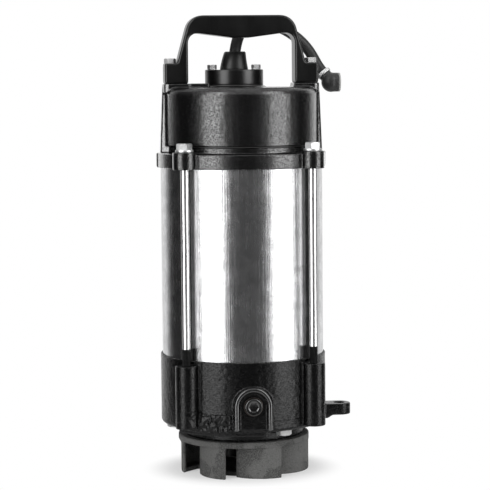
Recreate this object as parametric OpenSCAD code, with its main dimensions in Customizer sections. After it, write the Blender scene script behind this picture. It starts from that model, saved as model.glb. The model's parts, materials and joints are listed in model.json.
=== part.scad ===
// Submersible drainage pump in millimetres, +Z up. The origin is on the shaft
// axis at the underside of the strainer. The front of the pump faces -Y.
// A steel motor tube is clamped between a cast pump casing and an upper bracket
// by four tie bolts. The rotor turns in two ball bearings above an oil chamber.

/* [Strainer] */
// Diameter of the ring and over the blade edges
strainer_d = 127; // [112:1:146]
// Height of the strainer with its ring
strainer_h = 36; // [30:1:46]
// Thickness of the bottom plate
strainer_base_t = 4; // [3:0.5:6]
// Thickness of the top ring
strainer_ring_t = 6; // [4:0.5:8]
// Radial step behind each blade edge
blade_step = 14.5; // [12:0.5:18]
// Angle of the open slot behind each blade edge
blade_gap = 7.5; // [5:0.5:10]
// Thickness of a blade
blade_t = 3; // [2.5:0.5:5]

/* [Suction plate] */
// Diameter of the neck above the strainer
neck_d = 116; // [100:1:120]
// Height of the neck that shows under the casing
neck_h = 12; // [9:1:18]
// Thickness of the flange let into the casing
suction_flange_t = 5; // [4:0.5:8]
// Diameter of the inlet eye
eye_d = 54; // [44:1:60]

/* [Pump casing] */
// How much wider the casing is than the motor tube
casing_over = 4; // [2:0.5:12]
// Thickness of the casing wall
casing_wall = 8; // [6:0.5:11]
// Height of the impeller chamber
chamber_h = 39; // [36:1:50]
// Bore of the discharge port
port_d = 38; // [30:1:40]
// Distance of the discharge face from the casing's wall
port_stand = 28; // [24:1:45]
// Distance of the ear's hole from the casing's wall
ear_stand = 14.5; // [13:0.5:24]
// Diameter of the ear's hole
ear_hole_d = 10; // [6:0.5:12]
// Thickness of the ear
ear_t = 11; // [8:1:14]
// Outer width of the arched boss
arch_w = 37; // [32:1:42]

/* [Motor tube] */
// Outer diameter of the tube
tube_d = 156; // [150:1:172]
// Thickness of the tube wall
tube_wall = 2; // [1.5:0.5:3]
// Length of the tube
tube_l = 196; // [160:1:240]
// Depth of each socket that takes an end of the tube
tube_socket = 7.8; // [5:0.1:8]

/* [Tie bolts] */
// How far the bolt axes stand outside the tube
tie_stand = 7.5; // [6:0.5:14]
// Diameter of a tie bolt
tie_d = 8; // [6:1:8]
// Diameter of a bolt lug on the bracket and casing
tie_lug_d = 22; // [18:1:24]
// Height of the threads in the casing bosses
tie_grip = 26; // [16:1:34]

/* [Upper bracket and cover] */
// Radial wall of the bracket around the tube
bracket_wall = 3; // [2:0.5:8]
// Thickness of the bracket ring
bracket_t = 14; // [12:1:20]
// Step from the cover's side in to the neck under it
cover_neck_step = 3.5; // [2:0.5:4.5]
// Height of the neck under the cover
cover_neck_h = 6; // [4:0.5:10]
// Step from the tube's side in to the cover's side
cover_step = 5; // [3:0.5:6]
// Height of the cover above its gasket
cover_h = 55; // [45:1:80]
// Radius of the cover's top edge
cover_edge_r = 8; // [4:1:10]
// Thickness of the cover's top
cover_top_t = 8; // [6:0.5:12]

/* [Handle] */
// Distance of the handle bolts inside the cover's side
handle_bolt_step = 5; // [4:0.5:7]
// Depth of the handle from front to back
handle_depth = 27; // [20:1:30]
// Height of the handle above the cover's pads
handle_h = 64.8; // [56:0.1:80]
// Thickness of the hand grip at its ends
grip_t = 17; // [14:1:20]

/* [Gland and lead] */
// Gland on the cover, left or right of the axis
gland_x = -4; // [-8:1:8]
// Gland on the cover, behind the axis
gland_y = 20; // [10:1:24]
// Diameter of the gland flange
gland_d = 56.6; // [50:0.1:60]
// Height of the gland flange
gland_h = 14.7; // [12:0.1:16]
// Diameter of the lead
lead_d = 11; // [9:0.5:12]

/* [Rotor] */
// Diameter of the impeller
impeller_d = 100; // [80:1:112]
// Number of impeller vanes
vane_count = 4; // [3:1:7]
// Diameter of the rotor core
rotor_d = 80; // [64:1:84]
// Length of the rotor and stator cores
core_l = 100; // [70:1:110]

/* [Hidden] */
$fn = 96;

// How far a cutting shape runs past the face that it cuts
cut = 1;
// Radial clearance between seated pieces
fit = 0.1;
// Clearance between pieces that move past each other
gap = 0.3;

// Heights of the stack, from the floor up
z_ring = strainer_h - strainer_ring_t;
z_casing = strainer_h + neck_h;
z_chamber = z_casing + suction_flange_t;
z_plate = z_chamber + chamber_h;
seal_plate_t = 5;
z_housing = z_plate + seal_plate_t;
housing_spigot_h = 3;
z_seat = z_housing + housing_spigot_h;
housing_flange_t = 7;
z_tube = z_seat + housing_flange_t;
z_casing_top = z_tube + tube_socket;
z_tube_top = z_tube + tube_l;
z_bracket = z_tube_top - tube_socket;
z_bracket_top = z_bracket + bracket_t;
z_gasket = z_bracket_top + cover_neck_h;
cover_gasket_t = 1;
z_cover = z_gasket + cover_gasket_t;
z_cover_top = z_cover + cover_h;
pad_h = 4;
z_pad = z_cover_top + pad_h;

// Motor tube, and the casing with the pieces let into it
tube_r = tube_d / 2;
tube_bore_r = tube_r - tube_wall;
casing_r = (tube_d + casing_over) / 2;
chamber_r = casing_r - casing_wall;
flange_seat_r = chamber_r + 2;
port_reach = casing_r + port_stand;
z_port = z_chamber + port_d / 2 + 0.5;
port_wall = 7;
port_flange_w = 74;
port_flange_t = 12;
port_circle_d = 76;
port_thread_d = 8;
port_corner_r = 46;

// Tie bolts stand on the diagonals
tie_angles = [for (k = [0:3]) 45 + 90 * k];
tie_circle_r = tube_r + tie_stand;
boss_drop = 3.8;
z_boss = z_casing + 3;
z_boss_top = z_casing_top - boss_drop;
lug_rise = 2.5;
z_lug_top = z_bracket_top + lug_rise;
washer_t = 2.3;
tie_head_w = 13;
tie_head_h = 5.8;

// Bolts that hold the suction plate, under the casing
suction_bolt_r = chamber_r - 5;
suction_bolt_angles = [for (k = [0:2]) -62 + 120 * k];
suction_bolt_d = 8;
suction_bolt_grip = 14;
suction_column_r = min(7.5, suction_bolt_r - impeller_d / 2 - 2 * gap);

// Strainer blades run as arcs from the inner radius out to the ring
blade_count = 7;
blade_pitch = 360 / blade_count;
blade_start = -113 - blade_pitch;
ring_r = strainer_d / 2;
blade_edge_r = ring_r - 0.4;
blade_foot_r = ring_r - blade_step;
post_r = 6.5;
post_angles = [for (k = [0:3]) -79 + 90 * k];
post_reach = eye_d / 2 + 10;
notch_r = max(blade_foot_r - 5.5, post_reach + post_r);
notch_turn = 16;
strainer_screw_d = 6;
screw_head_d = 10;
screw_head_h = 4;
screw_sink = 0.6;
strainer_screw_grip = 9;

// Plug in the arched boss
arch_rise = 4.5;
arch_rim = 5.3;
z_arch = z_chamber + 20.5;
arch_face = casing_r + arch_rise;
arch_floor = casing_r + 1;
plug_thread_d = 13;
plug_head_d = 16;
plug_head_h = 3;
plug_washer_d = 18;
plug_washer_t = 1.2;
plug_socket_w = 8;

// Ear on the right of the casing
ear_reach = casing_r + ear_stand;
ear_end_r = 11;
z_ear = z_casing + 3;

// Bearings: [bore, outer diameter, width, ball diameter]
lower_bearing = [20, 47, 14, 7.94];
upper_bearing = [17, 40, 12, 6.75];
ball_count = 8;
race_clear = 0.1;

// Seal housing and shaft levels
oil_roof_t = 5;
oil_cavity_h = 15;
z_oil_roof = z_housing + oil_cavity_h;
z_lower_bearing = z_oil_roof + oil_roof_t;
z_bearing_top = z_lower_bearing + lower_bearing[2];
oil_r = 50;
lip_seal_d = 35;
lip_shaft_d = 20;
seal_shaft_d = 18;
seat_d = 34;
seat_rise = 2;
z_seat_face = z_housing + seat_rise;
seal_ring_h = 5;
seal_plate_screw_r = oil_r + 10;
ring_section = 2.9;

// Motor
z_core = z_bearing_top + 19;
z_core_top = z_core + core_l;
air_gap = 0.5;
slot_count = 24;
slot_w = 6;
slot_inner_r = rotor_d / 2 + 4;
slot_outer_r = tube_bore_r - 14;
coil_clear = 0.3;
coil_outer_r = tube_bore_r - 8;
core_shaft_d = 26;
end_ring_h = 9;

// Upper bearing hangs in the bracket
z_upper_pocket = z_bracket + 1.8;
z_upper_bearing = z_upper_pocket - upper_bearing[2];
bracket_spigot_h = 8;
bracket_floor_t = bracket_t - tube_socket;
z_bracket_floor = z_bracket_top - bracket_floor_t;
coil_h = min(20, z_bracket - bracket_spigot_h - z_core_top - 2);
z_coil_top = z_core_top + coil_h;

// Impeller
z_hub = z_chamber + 8;
hub_h = 30;
hub_r = 15;
impeller_shaft_d = 16;
thread_shaft_d = 12;
shroud_t = 4;
vane_h = 17;
vane_t = 4;
z_vane = z_chamber + 0.6;
z_shroud = z_vane + vane_h;
key_w = 5;
key_l = 20;
z_key = z_hub + 4;
nut_h = 8;
impeller_washer_t = 2;

// Cover and its columns
bracket_r = tube_r + bracket_wall;
cover_r = tube_r - cover_step;
cover_neck_r = cover_r - cover_neck_step;
handle_bolt_x = cover_r - handle_bolt_step;
column_w = 17;
column_top_x = cover_r + 2.8;
column_foot_x = cover_r + 5.5;
column_inner_x = handle_bolt_x - 11;
cavity_r = cover_r - 7;
cavity_x = column_inner_x - 3;
lobe_reach = cover_r + 0.9;
handle_bolt_d = 6;
bolt_head_w = 10;
bolt_head_h = 4.8;
bolt_grip = 10;
pad_w = handle_depth;
pad_inner_x = handle_bolt_x - 18;
pad_t = 9;
land_x = gland_d / 2 - gland_x - 1.3;
land_w = 14;

// Handle
handle_foot_x = handle_bolt_x + 6;
leg_x = handle_bolt_x - 6;
leg_inner_x = leg_x - 10.6;
foot_h = 19.3;
z_handle_top = z_pad + handle_h;
z_grip = z_handle_top - grip_t;
outer_corner_r = 16;
inner_corner_r = 9;
grip_sag = 4.5;
leg_lean = 15;
corner_x = leg_x - 8.6 - outer_corner_r;

// Gland
gland_pad_t = 1.5;
gland_gasket_t = 0.8;
z_gland_gasket = z_cover_top + gland_pad_t;
z_gland = z_gland_gasket + gland_gasket_t;
z_gland_top = z_gland + gland_h;
gland_screw_x = gland_d / 2 - 6.8;
gland_screw_d = 5;
lead_r = lead_d / 2;
boot_h = 17.5;
boot_foot_r = min(lead_r + 8.2, gland_screw_x - 5);
boot_top_r = lead_r + 5;
boot_sleeve_r = lead_r + 3;
gland_floor_t = 2;
z_boot_top = z_gland_top + boot_h;
z_lead_low = z_cover_top - cover_top_t - 6;

// Terminal block under the cover
block_size = [44, 20, 14];
block_y = 17 - cavity_r;
z_block_top = z_bracket_top + block_size.z;
motor_lead_d = 3;
motor_lead_y = block_y + 1;
coil_lead_y = -slot_inner_r - 4;
motor_lead_pitch = 6;
core_pitch = 12;

// Route of the free lead, from inside the boot to the connector, for a gland
// with its top at 388.2. A cubic B-spline follows these points, and its first
// and last points lie on them.
lead_route = [
    [-4, 20, 390], [-4, 20, 397], [-2.5, 22, 408.5], [1.5, 28.5, 421.5], [10, 40.5, 433],
    [23, 56.5, 437.5], [39.5, 70.5, 432.5], [48, 75, 430], [53, 77, 428], [57, 78.5, 426],
    [63, 80.5, 422.5], [72, 82, 415.5], [81, 81.5, 404.5], [87, 78.5, 391.5], [92, 76, 385]
];
lead_sides = 12;

// The route moves with the gland
lead_shift = [gland_x, gland_y, z_gland_top] - [-4, 20, 388.2];
z_lead_start = lead_route[0].z + lead_shift.z;

// Connector at the end of the lead
nut_l = 3.5;
nut_r = 7.5;
elbow_r = 9.8;
elbow_drop = elbow_r + 0.2;
barrel_r = elbow_r - 0.3;
barrel_l = 7;
rim_t = 1.8;
socket_depth = 9;
socket_r = 7.6;
pin_r = 1.2;
pin_circle_r = 4;
pin_l = 5;

// Colours
cast_black = [0.09, 0.09, 0.09];
cast_grey = [0.42, 0.42, 0.41];
steel = [0.75, 0.76, 0.77];
bolt_steel = [0.8, 0.8, 0.82];
plastic_black = [0.06, 0.06, 0.065];
rubber_black = [0.04, 0.04, 0.04];
copper = [0.72, 0.4, 0.2];
core_grey = [0.35, 0.36, 0.38];
brass_yellow = [0.78, 0.62, 0.3];

// ---- Helpers ----

function polar(r, a) = [r * cos(a), r * sin(a)];

// Centre of the circle through three points
function circle_centre(p, q, s) =
    let (d = 2 * (p.x * (q.y - s.y) + q.x * (s.y - p.y) + s.x * (p.y - q.y)))
    let (pp = p * p, qq = q * q, ss = s * s)
    [
        (pp * (q.y - s.y) + qq * (s.y - p.y) + ss * (p.y - q.y)) / d,
        (pp * (s.x - q.x) + qq * (p.x - s.x) + ss * (q.x - p.x)) / d
    ];

// Points along an arc about c
function arc(c, r, from, to, steps) =
    [for (i = [0:steps]) c + polar(r, from + (to - from) * i / steps)];

function unit(v) = v / norm(v);

module at_z(z) {
    translate([0, 0, z]) children();
}

// Round disc or pipe standing on z
module pipe(z, h, r, bore_r = 0) {
    difference() {
        at_z(z) cylinder(r = r, h = h);
        if (bore_r > 0) at_z(z - cut) cylinder(r = bore_r, h = h + 2 * cut);
    }
}

// Wedge from the axis, wider than anything that it cuts
module wedge(from, to, z, h) {
    reach = 2 * casing_r;
    mid = (from + to) / 2;
    at_z(z) linear_extrude(h)
        polygon([[0, 0], polar(reach, from), polar(reach, mid), polar(reach, to)]);
}

// Sealing ring lying flat at height z
module o_ring(z, middle_r) {
    at_z(z) rotate_extrude() translate([middle_r, 0]) circle(d = ring_section, $fn = 32);
}

// Hexagon head with its flats w apart
module hex_head(w, h) {
    cylinder(d = w / cos(30), h = h, $fn = 6);
}

// Bolts standing on angles around the axis: head below z or above it
module bolt_up(z, r, d, grip, head_w, head_h) {
    translate([r, 0, z - head_h]) hex_head(head_w, head_h);
    translate([r, 0, z]) cylinder(d = d, h = grip);
}

// Ring groove cut in the outside of a disc of radius r
module ring_groove(z, r, depth) {
    pipe(z - 1.6, 3.2, r + cut, r - depth);
}

// ---- Strainer and suction plate ----

foot_point = polar(blade_foot_r, blade_gap);
mid_point = polar(blade_edge_r - 0.15 * (blade_edge_r - blade_foot_r),
    blade_pitch - 0.36 * (blade_pitch - blade_gap));
edge_point = polar(blade_edge_r, blade_pitch);
blade_centre = circle_centre(foot_point, mid_point, edge_point);
blade_arc_r = norm(edge_point - blade_centre);

// Radius at which the ray at angle a meets the middle of a blade's thickness
function blade_reach(a) =
    let (along = blade_centre * polar(1, a), r = blade_arc_r - blade_t / 2)
    along + sqrt(r * r - blade_centre * blade_centre + along * along);

// Radius and angle along the edge of the bottom plate: it follows the blade,
// then steps in as a notch at the slot
edge_in = 0.6;
blade_outline = concat(
    [for (i = [0:8])
        let (a = blade_gap + edge_in + i * (blade_pitch - blade_gap - 2 * edge_in) / 8)
        [blade_reach(a), a]],
    [for (i = [0:3])
        [notch_r, blade_pitch - notch_turn + i * (notch_turn + blade_gap) / 3]]);
base_outline = [for (k = [0:blade_count - 1], q = blade_outline)
    polar(q[0], blade_start + k * blade_pitch + q[1])];

module at_blades() {
    for (k = [0:blade_count - 1]) rotate(blade_start + k * blade_pitch) children();
}

// Posts for the screws stand inside the blades, around the eye
module at_posts(z) {
    for (a = post_angles) rotate(a) translate([post_reach, 0, z]) children();
}

module blade_disc(z, h, r) {
    translate([blade_centre.x, blade_centre.y, z]) cylinder(r = r, h = h);
}

module strainer() {
    color(cast_grey) difference() {
        union() {
            linear_extrude(strainer_base_t) polygon(base_outline);
            at_blades() intersection() {
                wedge(blade_gap, blade_pitch, 0, z_ring + 1);
                difference() {
                    blade_disc(0, z_ring + 1, blade_arc_r);
                    blade_disc(-cut, strainer_h, blade_arc_r - blade_t);
                }
            }
            pipe(z_ring, strainer_ring_t, ring_r, post_reach - post_r - 1);
            at_posts(0) cylinder(r = post_r, h = z_ring + 1);
        }
        at_posts(-cut) {
            cylinder(d = strainer_screw_d + 2 * fit, h = strainer_h + 2 * cut);
            cylinder(d = screw_head_d + 1, h = cut + screw_head_h + screw_sink);
        }
    }
}

module strainer_screws() {
    color(bolt_steel) at_posts(screw_sink) {
        difference() {
            cylinder(d = screw_head_d, h = screw_head_h);
            at_z(-cut) hex_head(5, cut + 2.5);
        }
        cylinder(d = strainer_screw_d, h = strainer_h + strainer_screw_grip - screw_sink);
    }
}

module suction_plate() {
    color(cast_black) difference() {
        union() {
            difference() {
                pipe(strainer_h, neck_h, neck_d / 2);
                for (a = suction_bolt_angles) rotate(a)
                    translate([suction_bolt_r, 0, strainer_h - cut])
                        cylinder(r = tie_head_w / 2 + 2, h = neck_h + cut);
            }
            pipe(z_casing, suction_flange_t, flange_seat_r - fit);
        }
        at_z(strainer_h - cut) cylinder(d = eye_d, h = neck_h + suction_flange_t + 2 * cut);
        at_z(strainer_h - cut) cylinder(r1 = eye_d / 2 + 5, r2 = eye_d / 2, h = 4 + cut);
        at_posts(strainer_h - cut)
            cylinder(d = strainer_screw_d + fit, h = strainer_screw_grip + 1 + cut);
        for (a = suction_bolt_angles) rotate(a) translate([suction_bolt_r, 0, z_casing - cut])
            cylinder(d = suction_bolt_d + 0.5, h = suction_flange_t + 2 * cut);
    }
}

module suction_plate_bolts() {
    color(bolt_steel) for (a = suction_bolt_angles) rotate(a)
        bolt_up(z_casing, suction_bolt_r, suction_bolt_d,
                suction_flange_t + suction_bolt_grip, tie_head_w, tie_head_h);
}

// ---- Pump casing ----

module arch_solid(w, from_y, to_y, z_low) {
    translate([0, -from_y, z_arch]) rotate([90, 0, 0]) cylinder(d = w, h = to_y - from_y);
    translate([-w / 2, -to_y, z_low]) cube([w, to_y - from_y, z_arch - z_low]);
}

module port_block() {
    translate([0, chamber_r - 12, z_port]) rotate([-90, 0, 0])
        cylinder(d = port_d + 2 * port_wall, h = port_reach - chamber_r + 12);
    intersection() {
        translate([-port_flange_w / 2, port_reach - port_flange_t, z_port - port_flange_w / 2])
            cube([port_flange_w, port_flange_t, port_flange_w]);
        translate([0, port_reach - port_flange_t, z_port]) rotate([-90, 0, 0])
            cylinder(r = port_corner_r, h = port_flange_t);
    }
}

module ear() {
    translate([ear_reach, 0, z_ear]) cylinder(r = ear_end_r, h = ear_t);
    translate([chamber_r + 2, -ear_end_r, z_ear])
        cube([ear_reach - chamber_r - 2, 2 * ear_end_r, ear_t]);
    translate([0, ear_end_r, 0]) rotate([90, 0, 0]) linear_extrude(2 * ear_end_r)
        polygon([[chamber_r + 3, z_casing], [casing_r + 2, z_casing], [casing_r + 8, z_ear + 1],
                 [chamber_r + 3, z_ear + 1]]);
}

// Raised casting pad and low rim, each over part of the circumference
module casting_pads() {
    intersection() {
        wedge(-138, -105, z_casing, 17);
        pipe(z_casing, 17, casing_r + 1.8, casing_r - 3);
    }
    intersection() {
        wedge(-148, -80, z_casing - 3.5, 5);
        pipe(z_casing - 3.5, 5, casing_r - 0.8, suction_bolt_r + 9);
    }
}

module casing_outside() {
    at_z(z_casing) cylinder(r1 = casing_r - 2, r2 = casing_r, h = 2);
    pipe(z_casing + 2, z_casing_top - z_casing - 2, casing_r);
    for (a = tie_angles) rotate(a) translate([tie_circle_r, 0, z_boss])
        cylinder(d = tie_lug_d, h = z_boss_top - z_boss);
    arch_solid(arch_w, chamber_r + 2, arch_face, z_boss);
    casting_pads();
    port_block();
    ear();
}

module pump_casing() {
    color(cast_black) difference() {
        union() {
            difference() {
                casing_outside();
                at_z(z_chamber - cut) cylinder(r = chamber_r, h = z_casing_top);
            }
            for (a = suction_bolt_angles) rotate(a) translate([suction_bolt_r, 0, z_chamber])
                cylinder(r = suction_column_r, h = suction_bolt_grip + 4);
        }
        at_z(z_casing - 4) cylinder(r = flange_seat_r, h = suction_flange_t + 4);
        at_z(z_seat) cylinder(r = tube_r + 2 * fit, h = z_casing_top);
        for (a = tie_angles) rotate(a) translate([tie_circle_r, 0, z_boss_top - tie_grip - 1])
            cylinder(d = tie_d + fit, h = tie_grip + 1 + cut);
        for (a = suction_bolt_angles) rotate(a) translate([suction_bolt_r, 0, z_casing])
            cylinder(d = suction_bolt_d + fit, h = suction_flange_t + suction_bolt_grip + 1);
        translate([0, chamber_r - 20, z_port]) rotate([-90, 0, 0])
            cylinder(d = port_d, h = port_reach);
        for (a = tie_angles) translate([0, port_reach + cut, z_port])
            rotate([90, 0, 0]) rotate(a) translate([port_circle_d / 2, 0, 0])
                cylinder(d = port_thread_d, h = port_flange_t + 2 * cut);
        arch_solid(arch_w - 2 * arch_rim, arch_floor, arch_face + cut, z_casing - cut);
        translate([0, -chamber_r + 8, z_arch]) rotate([90, 0, 0])
            cylinder(d = plug_thread_d + fit, h = arch_floor - chamber_r + 8 + cut);
        translate([ear_reach, 0, z_ear - cut]) cylinder(d = ear_hole_d, h = ear_t + 2 * cut);
    }
}

module at_plug() {
    translate([0, -arch_floor, z_arch]) rotate([90, 0, 0]) children();
}

module drain_plug() {
    color(bolt_steel) at_plug() difference() {
        union() {
            at_z(plug_washer_t) cylinder(d = plug_head_d, h = plug_head_h);
            at_z(-casing_wall) cylinder(d = plug_thread_d, h = casing_wall + plug_washer_t + 1);
        }
        at_z(plug_washer_t + plug_head_h - 4) hex_head(plug_socket_w, 4 + cut);
    }
}

module drain_plug_washer() {
    color(copper) at_plug() pipe(0, plug_washer_t, plug_washer_d / 2, plug_thread_d / 2 + fit);
}

// ---- Oil chamber and seals ----

module seal_plate() {
    color(cast_black) difference() {
        pipe(z_plate, seal_plate_t, chamber_r - 2 * fit, 12);
        at_z(z_plate + 1.5) cylinder(d = seat_d + 2 * fit, h = seal_plate_t);
        ring_groove(z_plate + seal_plate_t / 2, chamber_r - 2 * fit, 2.8);
        for (a = tie_angles) rotate(a) translate([seal_plate_screw_r, 0, z_plate - cut])
            cylinder(d = 5.4, h = seal_plate_t + 2 * cut);
    }
}

module seal_plate_screws() {
    color(bolt_steel) for (a = tie_angles) rotate(a)
        bolt_up(z_plate, seal_plate_screw_r, 5, seal_plate_t + housing_spigot_h + 5, 8, 3.5);
}

module casing_o_ring() {
    color(rubber_black) o_ring(z_plate + seal_plate_t / 2, chamber_r - 0.05 - ring_section / 2);
}

module seal_housing() {
    color(cast_black) difference() {
        union() {
            pipe(z_housing, housing_spigot_h, chamber_r - 2 * fit);
            pipe(z_seat, housing_flange_t, tube_r);
            pipe(z_tube, z_lower_bearing - z_tube, tube_bore_r - 2 * fit);
            pipe(z_lower_bearing, lower_bearing[2], lower_bearing[1] / 2 + 7);
        }
        at_z(z_housing - cut) cylinder(r = oil_r, h = oil_cavity_h + cut);
        at_z(z_oil_roof - cut) cylinder(d = lip_seal_d + 2 * fit, h = oil_roof_t + 2 * cut);
        at_z(z_lower_bearing) cylinder(d = lower_bearing[1] + fit, h = lower_bearing[2] + cut);
        ring_groove(z_tube + 5, tube_bore_r - 2 * fit, 2.8);
        for (a = tie_angles) rotate(a) translate([seal_plate_screw_r, 0, z_housing - cut])
            cylinder(d = 5 + fit, h = housing_spigot_h + 6 + cut);
    }
}

module lower_tube_o_ring() {
    color(rubber_black) o_ring(z_tube + 5, tube_bore_r - 0.05 - ring_section / 2);
}

module seal_seat() {
    color(core_grey) pipe(z_plate + 1.5, z_seat_face - z_plate - 1.5, seat_d / 2,
                          seal_shaft_d / 2 + 1.2);
}

// Stops short of the bearing's turning inner ring
module lip_seal() {
    color(rubber_black) pipe(z_oil_roof, oil_roof_t - gap, lip_seal_d / 2, lip_shaft_d / 2 + 0.05);
}

module seal_ring() {
    color(steel) pipe(z_seat_face + gap, seal_ring_h, 15.5, seal_shaft_d / 2 + fit);
}

// Rubber bellows with round folds, pushed against the shaft's shoulder
module seal_bellows() {
    low = z_seat_face + gap + seal_ring_h;
    high = z_oil_roof - gap - 1;
    fold_r = (high - low) / 6;
    color(rubber_black) difference() {
        union() {
            pipe(low, high - low, 12);
            for (k = [0:2]) at_z(low + fold_r * (1 + 2 * k))
                rotate_extrude() translate([12, 0]) circle(r = fold_r * 0.96, $fn = 24);
        }
        at_z(low - cut) cylinder(r = seal_shaft_d / 2 + fit, h = high - low + 2 * cut);
    }
}

// ---- Motor ----

module motor_tube() {
    color(steel) pipe(z_tube, tube_l, tube_r, tube_bore_r);
}

module at_slots() {
    for (k = [0:slot_count - 1]) rotate(k * 360 / slot_count) children();
}

module stator_core() {
    mouth_w = 2.5;
    color(core_grey) difference() {
        pipe(z_core, core_l, tube_bore_r - 0.05, rotor_d / 2 + air_gap);
        at_slots() translate([slot_inner_r, -slot_w / 2, z_core - cut])
            cube([slot_outer_r - slot_inner_r, slot_w, core_l + 2 * cut]);
        at_slots() translate([rotor_d / 2 - cut, -mouth_w / 2, z_core - cut])
            cube([slot_inner_r - rotor_d / 2 + 2 * cut, mouth_w, core_l + 2 * cut]);
    }
}

// Winding head: a ring with rounded corners, from z up
module winding_head(z) {
    edge = min(5, coil_h / 2 - 0.1);
    inner = slot_inner_r + coil_clear;
    at_z(z) rotate_extrude() {
        translate([inner + edge, 0]) square([coil_outer_r - inner - 2 * edge, coil_h]);
        translate([inner, edge]) square([coil_outer_r - inner, coil_h - 2 * edge]);
        for (x = [inner + edge, coil_outer_r - edge])
            for (y = [edge, coil_h - edge]) translate([x, y]) circle(r = edge, $fn = 32);
    }
}

module stator_windings() {
    bar_w = slot_w - 2 * coil_clear;
    color(copper) union() {
        winding_head(z_core - coil_h);
        winding_head(z_core_top);
        at_slots() translate([slot_inner_r + 4, -bar_w / 2, z_core - 2])
            cube([slot_outer_r - slot_inner_r - 4 - coil_clear, bar_w, core_l + 4]);
    }
}

module thermal_protector() {
    color(plastic_black) translate([-9, slot_outer_r - 12, z_coil_top]) cube([18, 9, 6]);
}

module bearing_ring(spec, z, outer) {
    middle_r = (spec[0] + spec[1]) / 4;
    land = spec[3] * 0.33;
    difference() {
        if (outer) pipe(z, spec[2], spec[1] / 2, middle_r + land);
        else pipe(z, spec[2], middle_r - land, spec[0] / 2 + 0.05);
        at_z(z + spec[2] / 2) rotate_extrude() translate([middle_r, 0])
            circle(r = spec[3] / 2 + race_clear, $fn = 48);
    }
}

module at_balls(spec, z) {
    middle_r = (spec[0] + spec[1]) / 4;
    for (k = [0:ball_count - 1]) rotate(k * 360 / ball_count)
        translate([middle_r, 0, z + spec[2] / 2]) children();
}

module bearing_cage(spec, z) {
    middle_r = (spec[0] + spec[1]) / 4;
    half_t = spec[3] * 0.17;
    height = spec[2] - 3;
    difference() {
        pipe(z + 1.5, height, middle_r + half_t, middle_r - half_t);
        at_balls(spec, z) sphere(r = spec[3] / 2 + race_clear, $fn = 48);
    }
}

module bearing_balls(spec, z) {
    at_balls(spec, z) sphere(d = spec[3], $fn = 48);
}

module lower_bearing_outer_ring() {
    color(steel) bearing_ring(lower_bearing, z_lower_bearing, true);
}

module lower_bearing_inner_ring() {
    color(steel) bearing_ring(lower_bearing, z_lower_bearing, false);
}

module lower_bearing_cage() {
    color(brass_yellow) bearing_cage(lower_bearing, z_lower_bearing);
}

module lower_bearing_balls() {
    color(steel) bearing_balls(lower_bearing, z_lower_bearing);
}

module upper_bearing_outer_ring() {
    color(steel) bearing_ring(upper_bearing, z_upper_bearing, true);
}

module upper_bearing_inner_ring() {
    color(steel) bearing_ring(upper_bearing, z_upper_bearing, false);
}

module upper_bearing_cage() {
    color(brass_yellow) bearing_cage(upper_bearing, z_upper_bearing);
}

module upper_bearing_balls() {
    color(steel) bearing_balls(upper_bearing, z_upper_bearing);
}

// Shaft steps, each [lower end, diameter]; the last entry is the top
z_shaft = z_hub - nut_h - impeller_washer_t - 2;
shaft_steps = [
    [z_shaft, thread_shaft_d],
    [z_hub, impeller_shaft_d],
    [z_plate, seal_shaft_d],
    [z_oil_roof - gap - 1, lip_shaft_d],
    [z_bearing_top, core_shaft_d],
    [z_upper_bearing, upper_bearing[0]],
    [z_upper_pocket + 2, 0]
];

module key_shape(grow) {
    translate([impeller_shaft_d / 2 - 3 - grow, -key_w / 2 - grow, z_key - grow])
        cube([key_w + 2 * grow, key_w + 2 * grow, key_l + 2 * grow]);
}

module shaft() {
    color(steel) difference() {
        for (i = [0:len(shaft_steps) - 2])
            pipe(shaft_steps[i][0], shaft_steps[i + 1][0] - shaft_steps[i][0],
                 shaft_steps[i][1] / 2);
        key_shape(0.05);
    }
}

module rotor_core() {
    color(core_grey) pipe(z_core, core_l, rotor_d / 2, core_shaft_d / 2 + 0.05);
}

module end_ring(z, fins_z) {
    pipe(z, end_ring_h, rotor_d / 2 - 0.5, rotor_d / 2 - 12);
    for (k = [0:7]) rotate(45 * k) translate([rotor_d / 2 - 11, -1, fins_z]) cube([9, 2, 5]);
}

module rotor_end_rings() {
    color(steel) {
        end_ring(z_core - end_ring_h, z_core - end_ring_h - 4);
        end_ring(z_core_top, z_core_top + end_ring_h - 1);
    }
}

vane_foot_r = hub_r - 2;
vane_tip_r = impeller_d / 2;
vane_sweep = -70;
vane_start = polar(vane_foot_r, 0);
vane_middle = polar((vane_foot_r + vane_tip_r) / 2, vane_sweep * 0.42);
vane_end = polar(vane_tip_r, vane_sweep);
vane_centre = circle_centre(vane_start, vane_middle, vane_end);
vane_arc_r = norm(vane_end - vane_centre);

module vane() {
    intersection() {
        wedge(vane_sweep - 12, 30, z_vane, vane_h + 1);
        pipe(z_vane, vane_h + 1, vane_tip_r, vane_foot_r);
        difference() {
            translate([vane_centre.x, vane_centre.y, z_vane])
                cylinder(r = vane_arc_r, h = vane_h + 1);
            translate([vane_centre.x, vane_centre.y, z_vane - cut])
                cylinder(r = vane_arc_r - vane_t, h = vane_h + 2 * cut + 1);
        }
    }
}

module impeller() {
    color(cast_grey) difference() {
        union() {
            pipe(z_hub, hub_h - 6, hub_r);
            pipe(z_shroud, shroud_t, vane_tip_r);
            for (k = [0:vane_count - 1]) rotate(k * 360 / vane_count) vane();
        }
        at_z(z_vane - cut) cylinder(r = hub_r - 2.5, h = z_hub - z_vane + cut);
        at_z(z_hub - cut) cylinder(d = impeller_shaft_d + 2 * fit, h = hub_h + 2 * cut);
        key_shape(fit);
    }
}

module impeller_key() {
    color(steel) key_shape(0);
}

module impeller_washer() {
    color(bolt_steel) pipe(z_hub - impeller_washer_t, impeller_washer_t, 12,
                           thread_shaft_d / 2 + fit);
}

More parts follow.
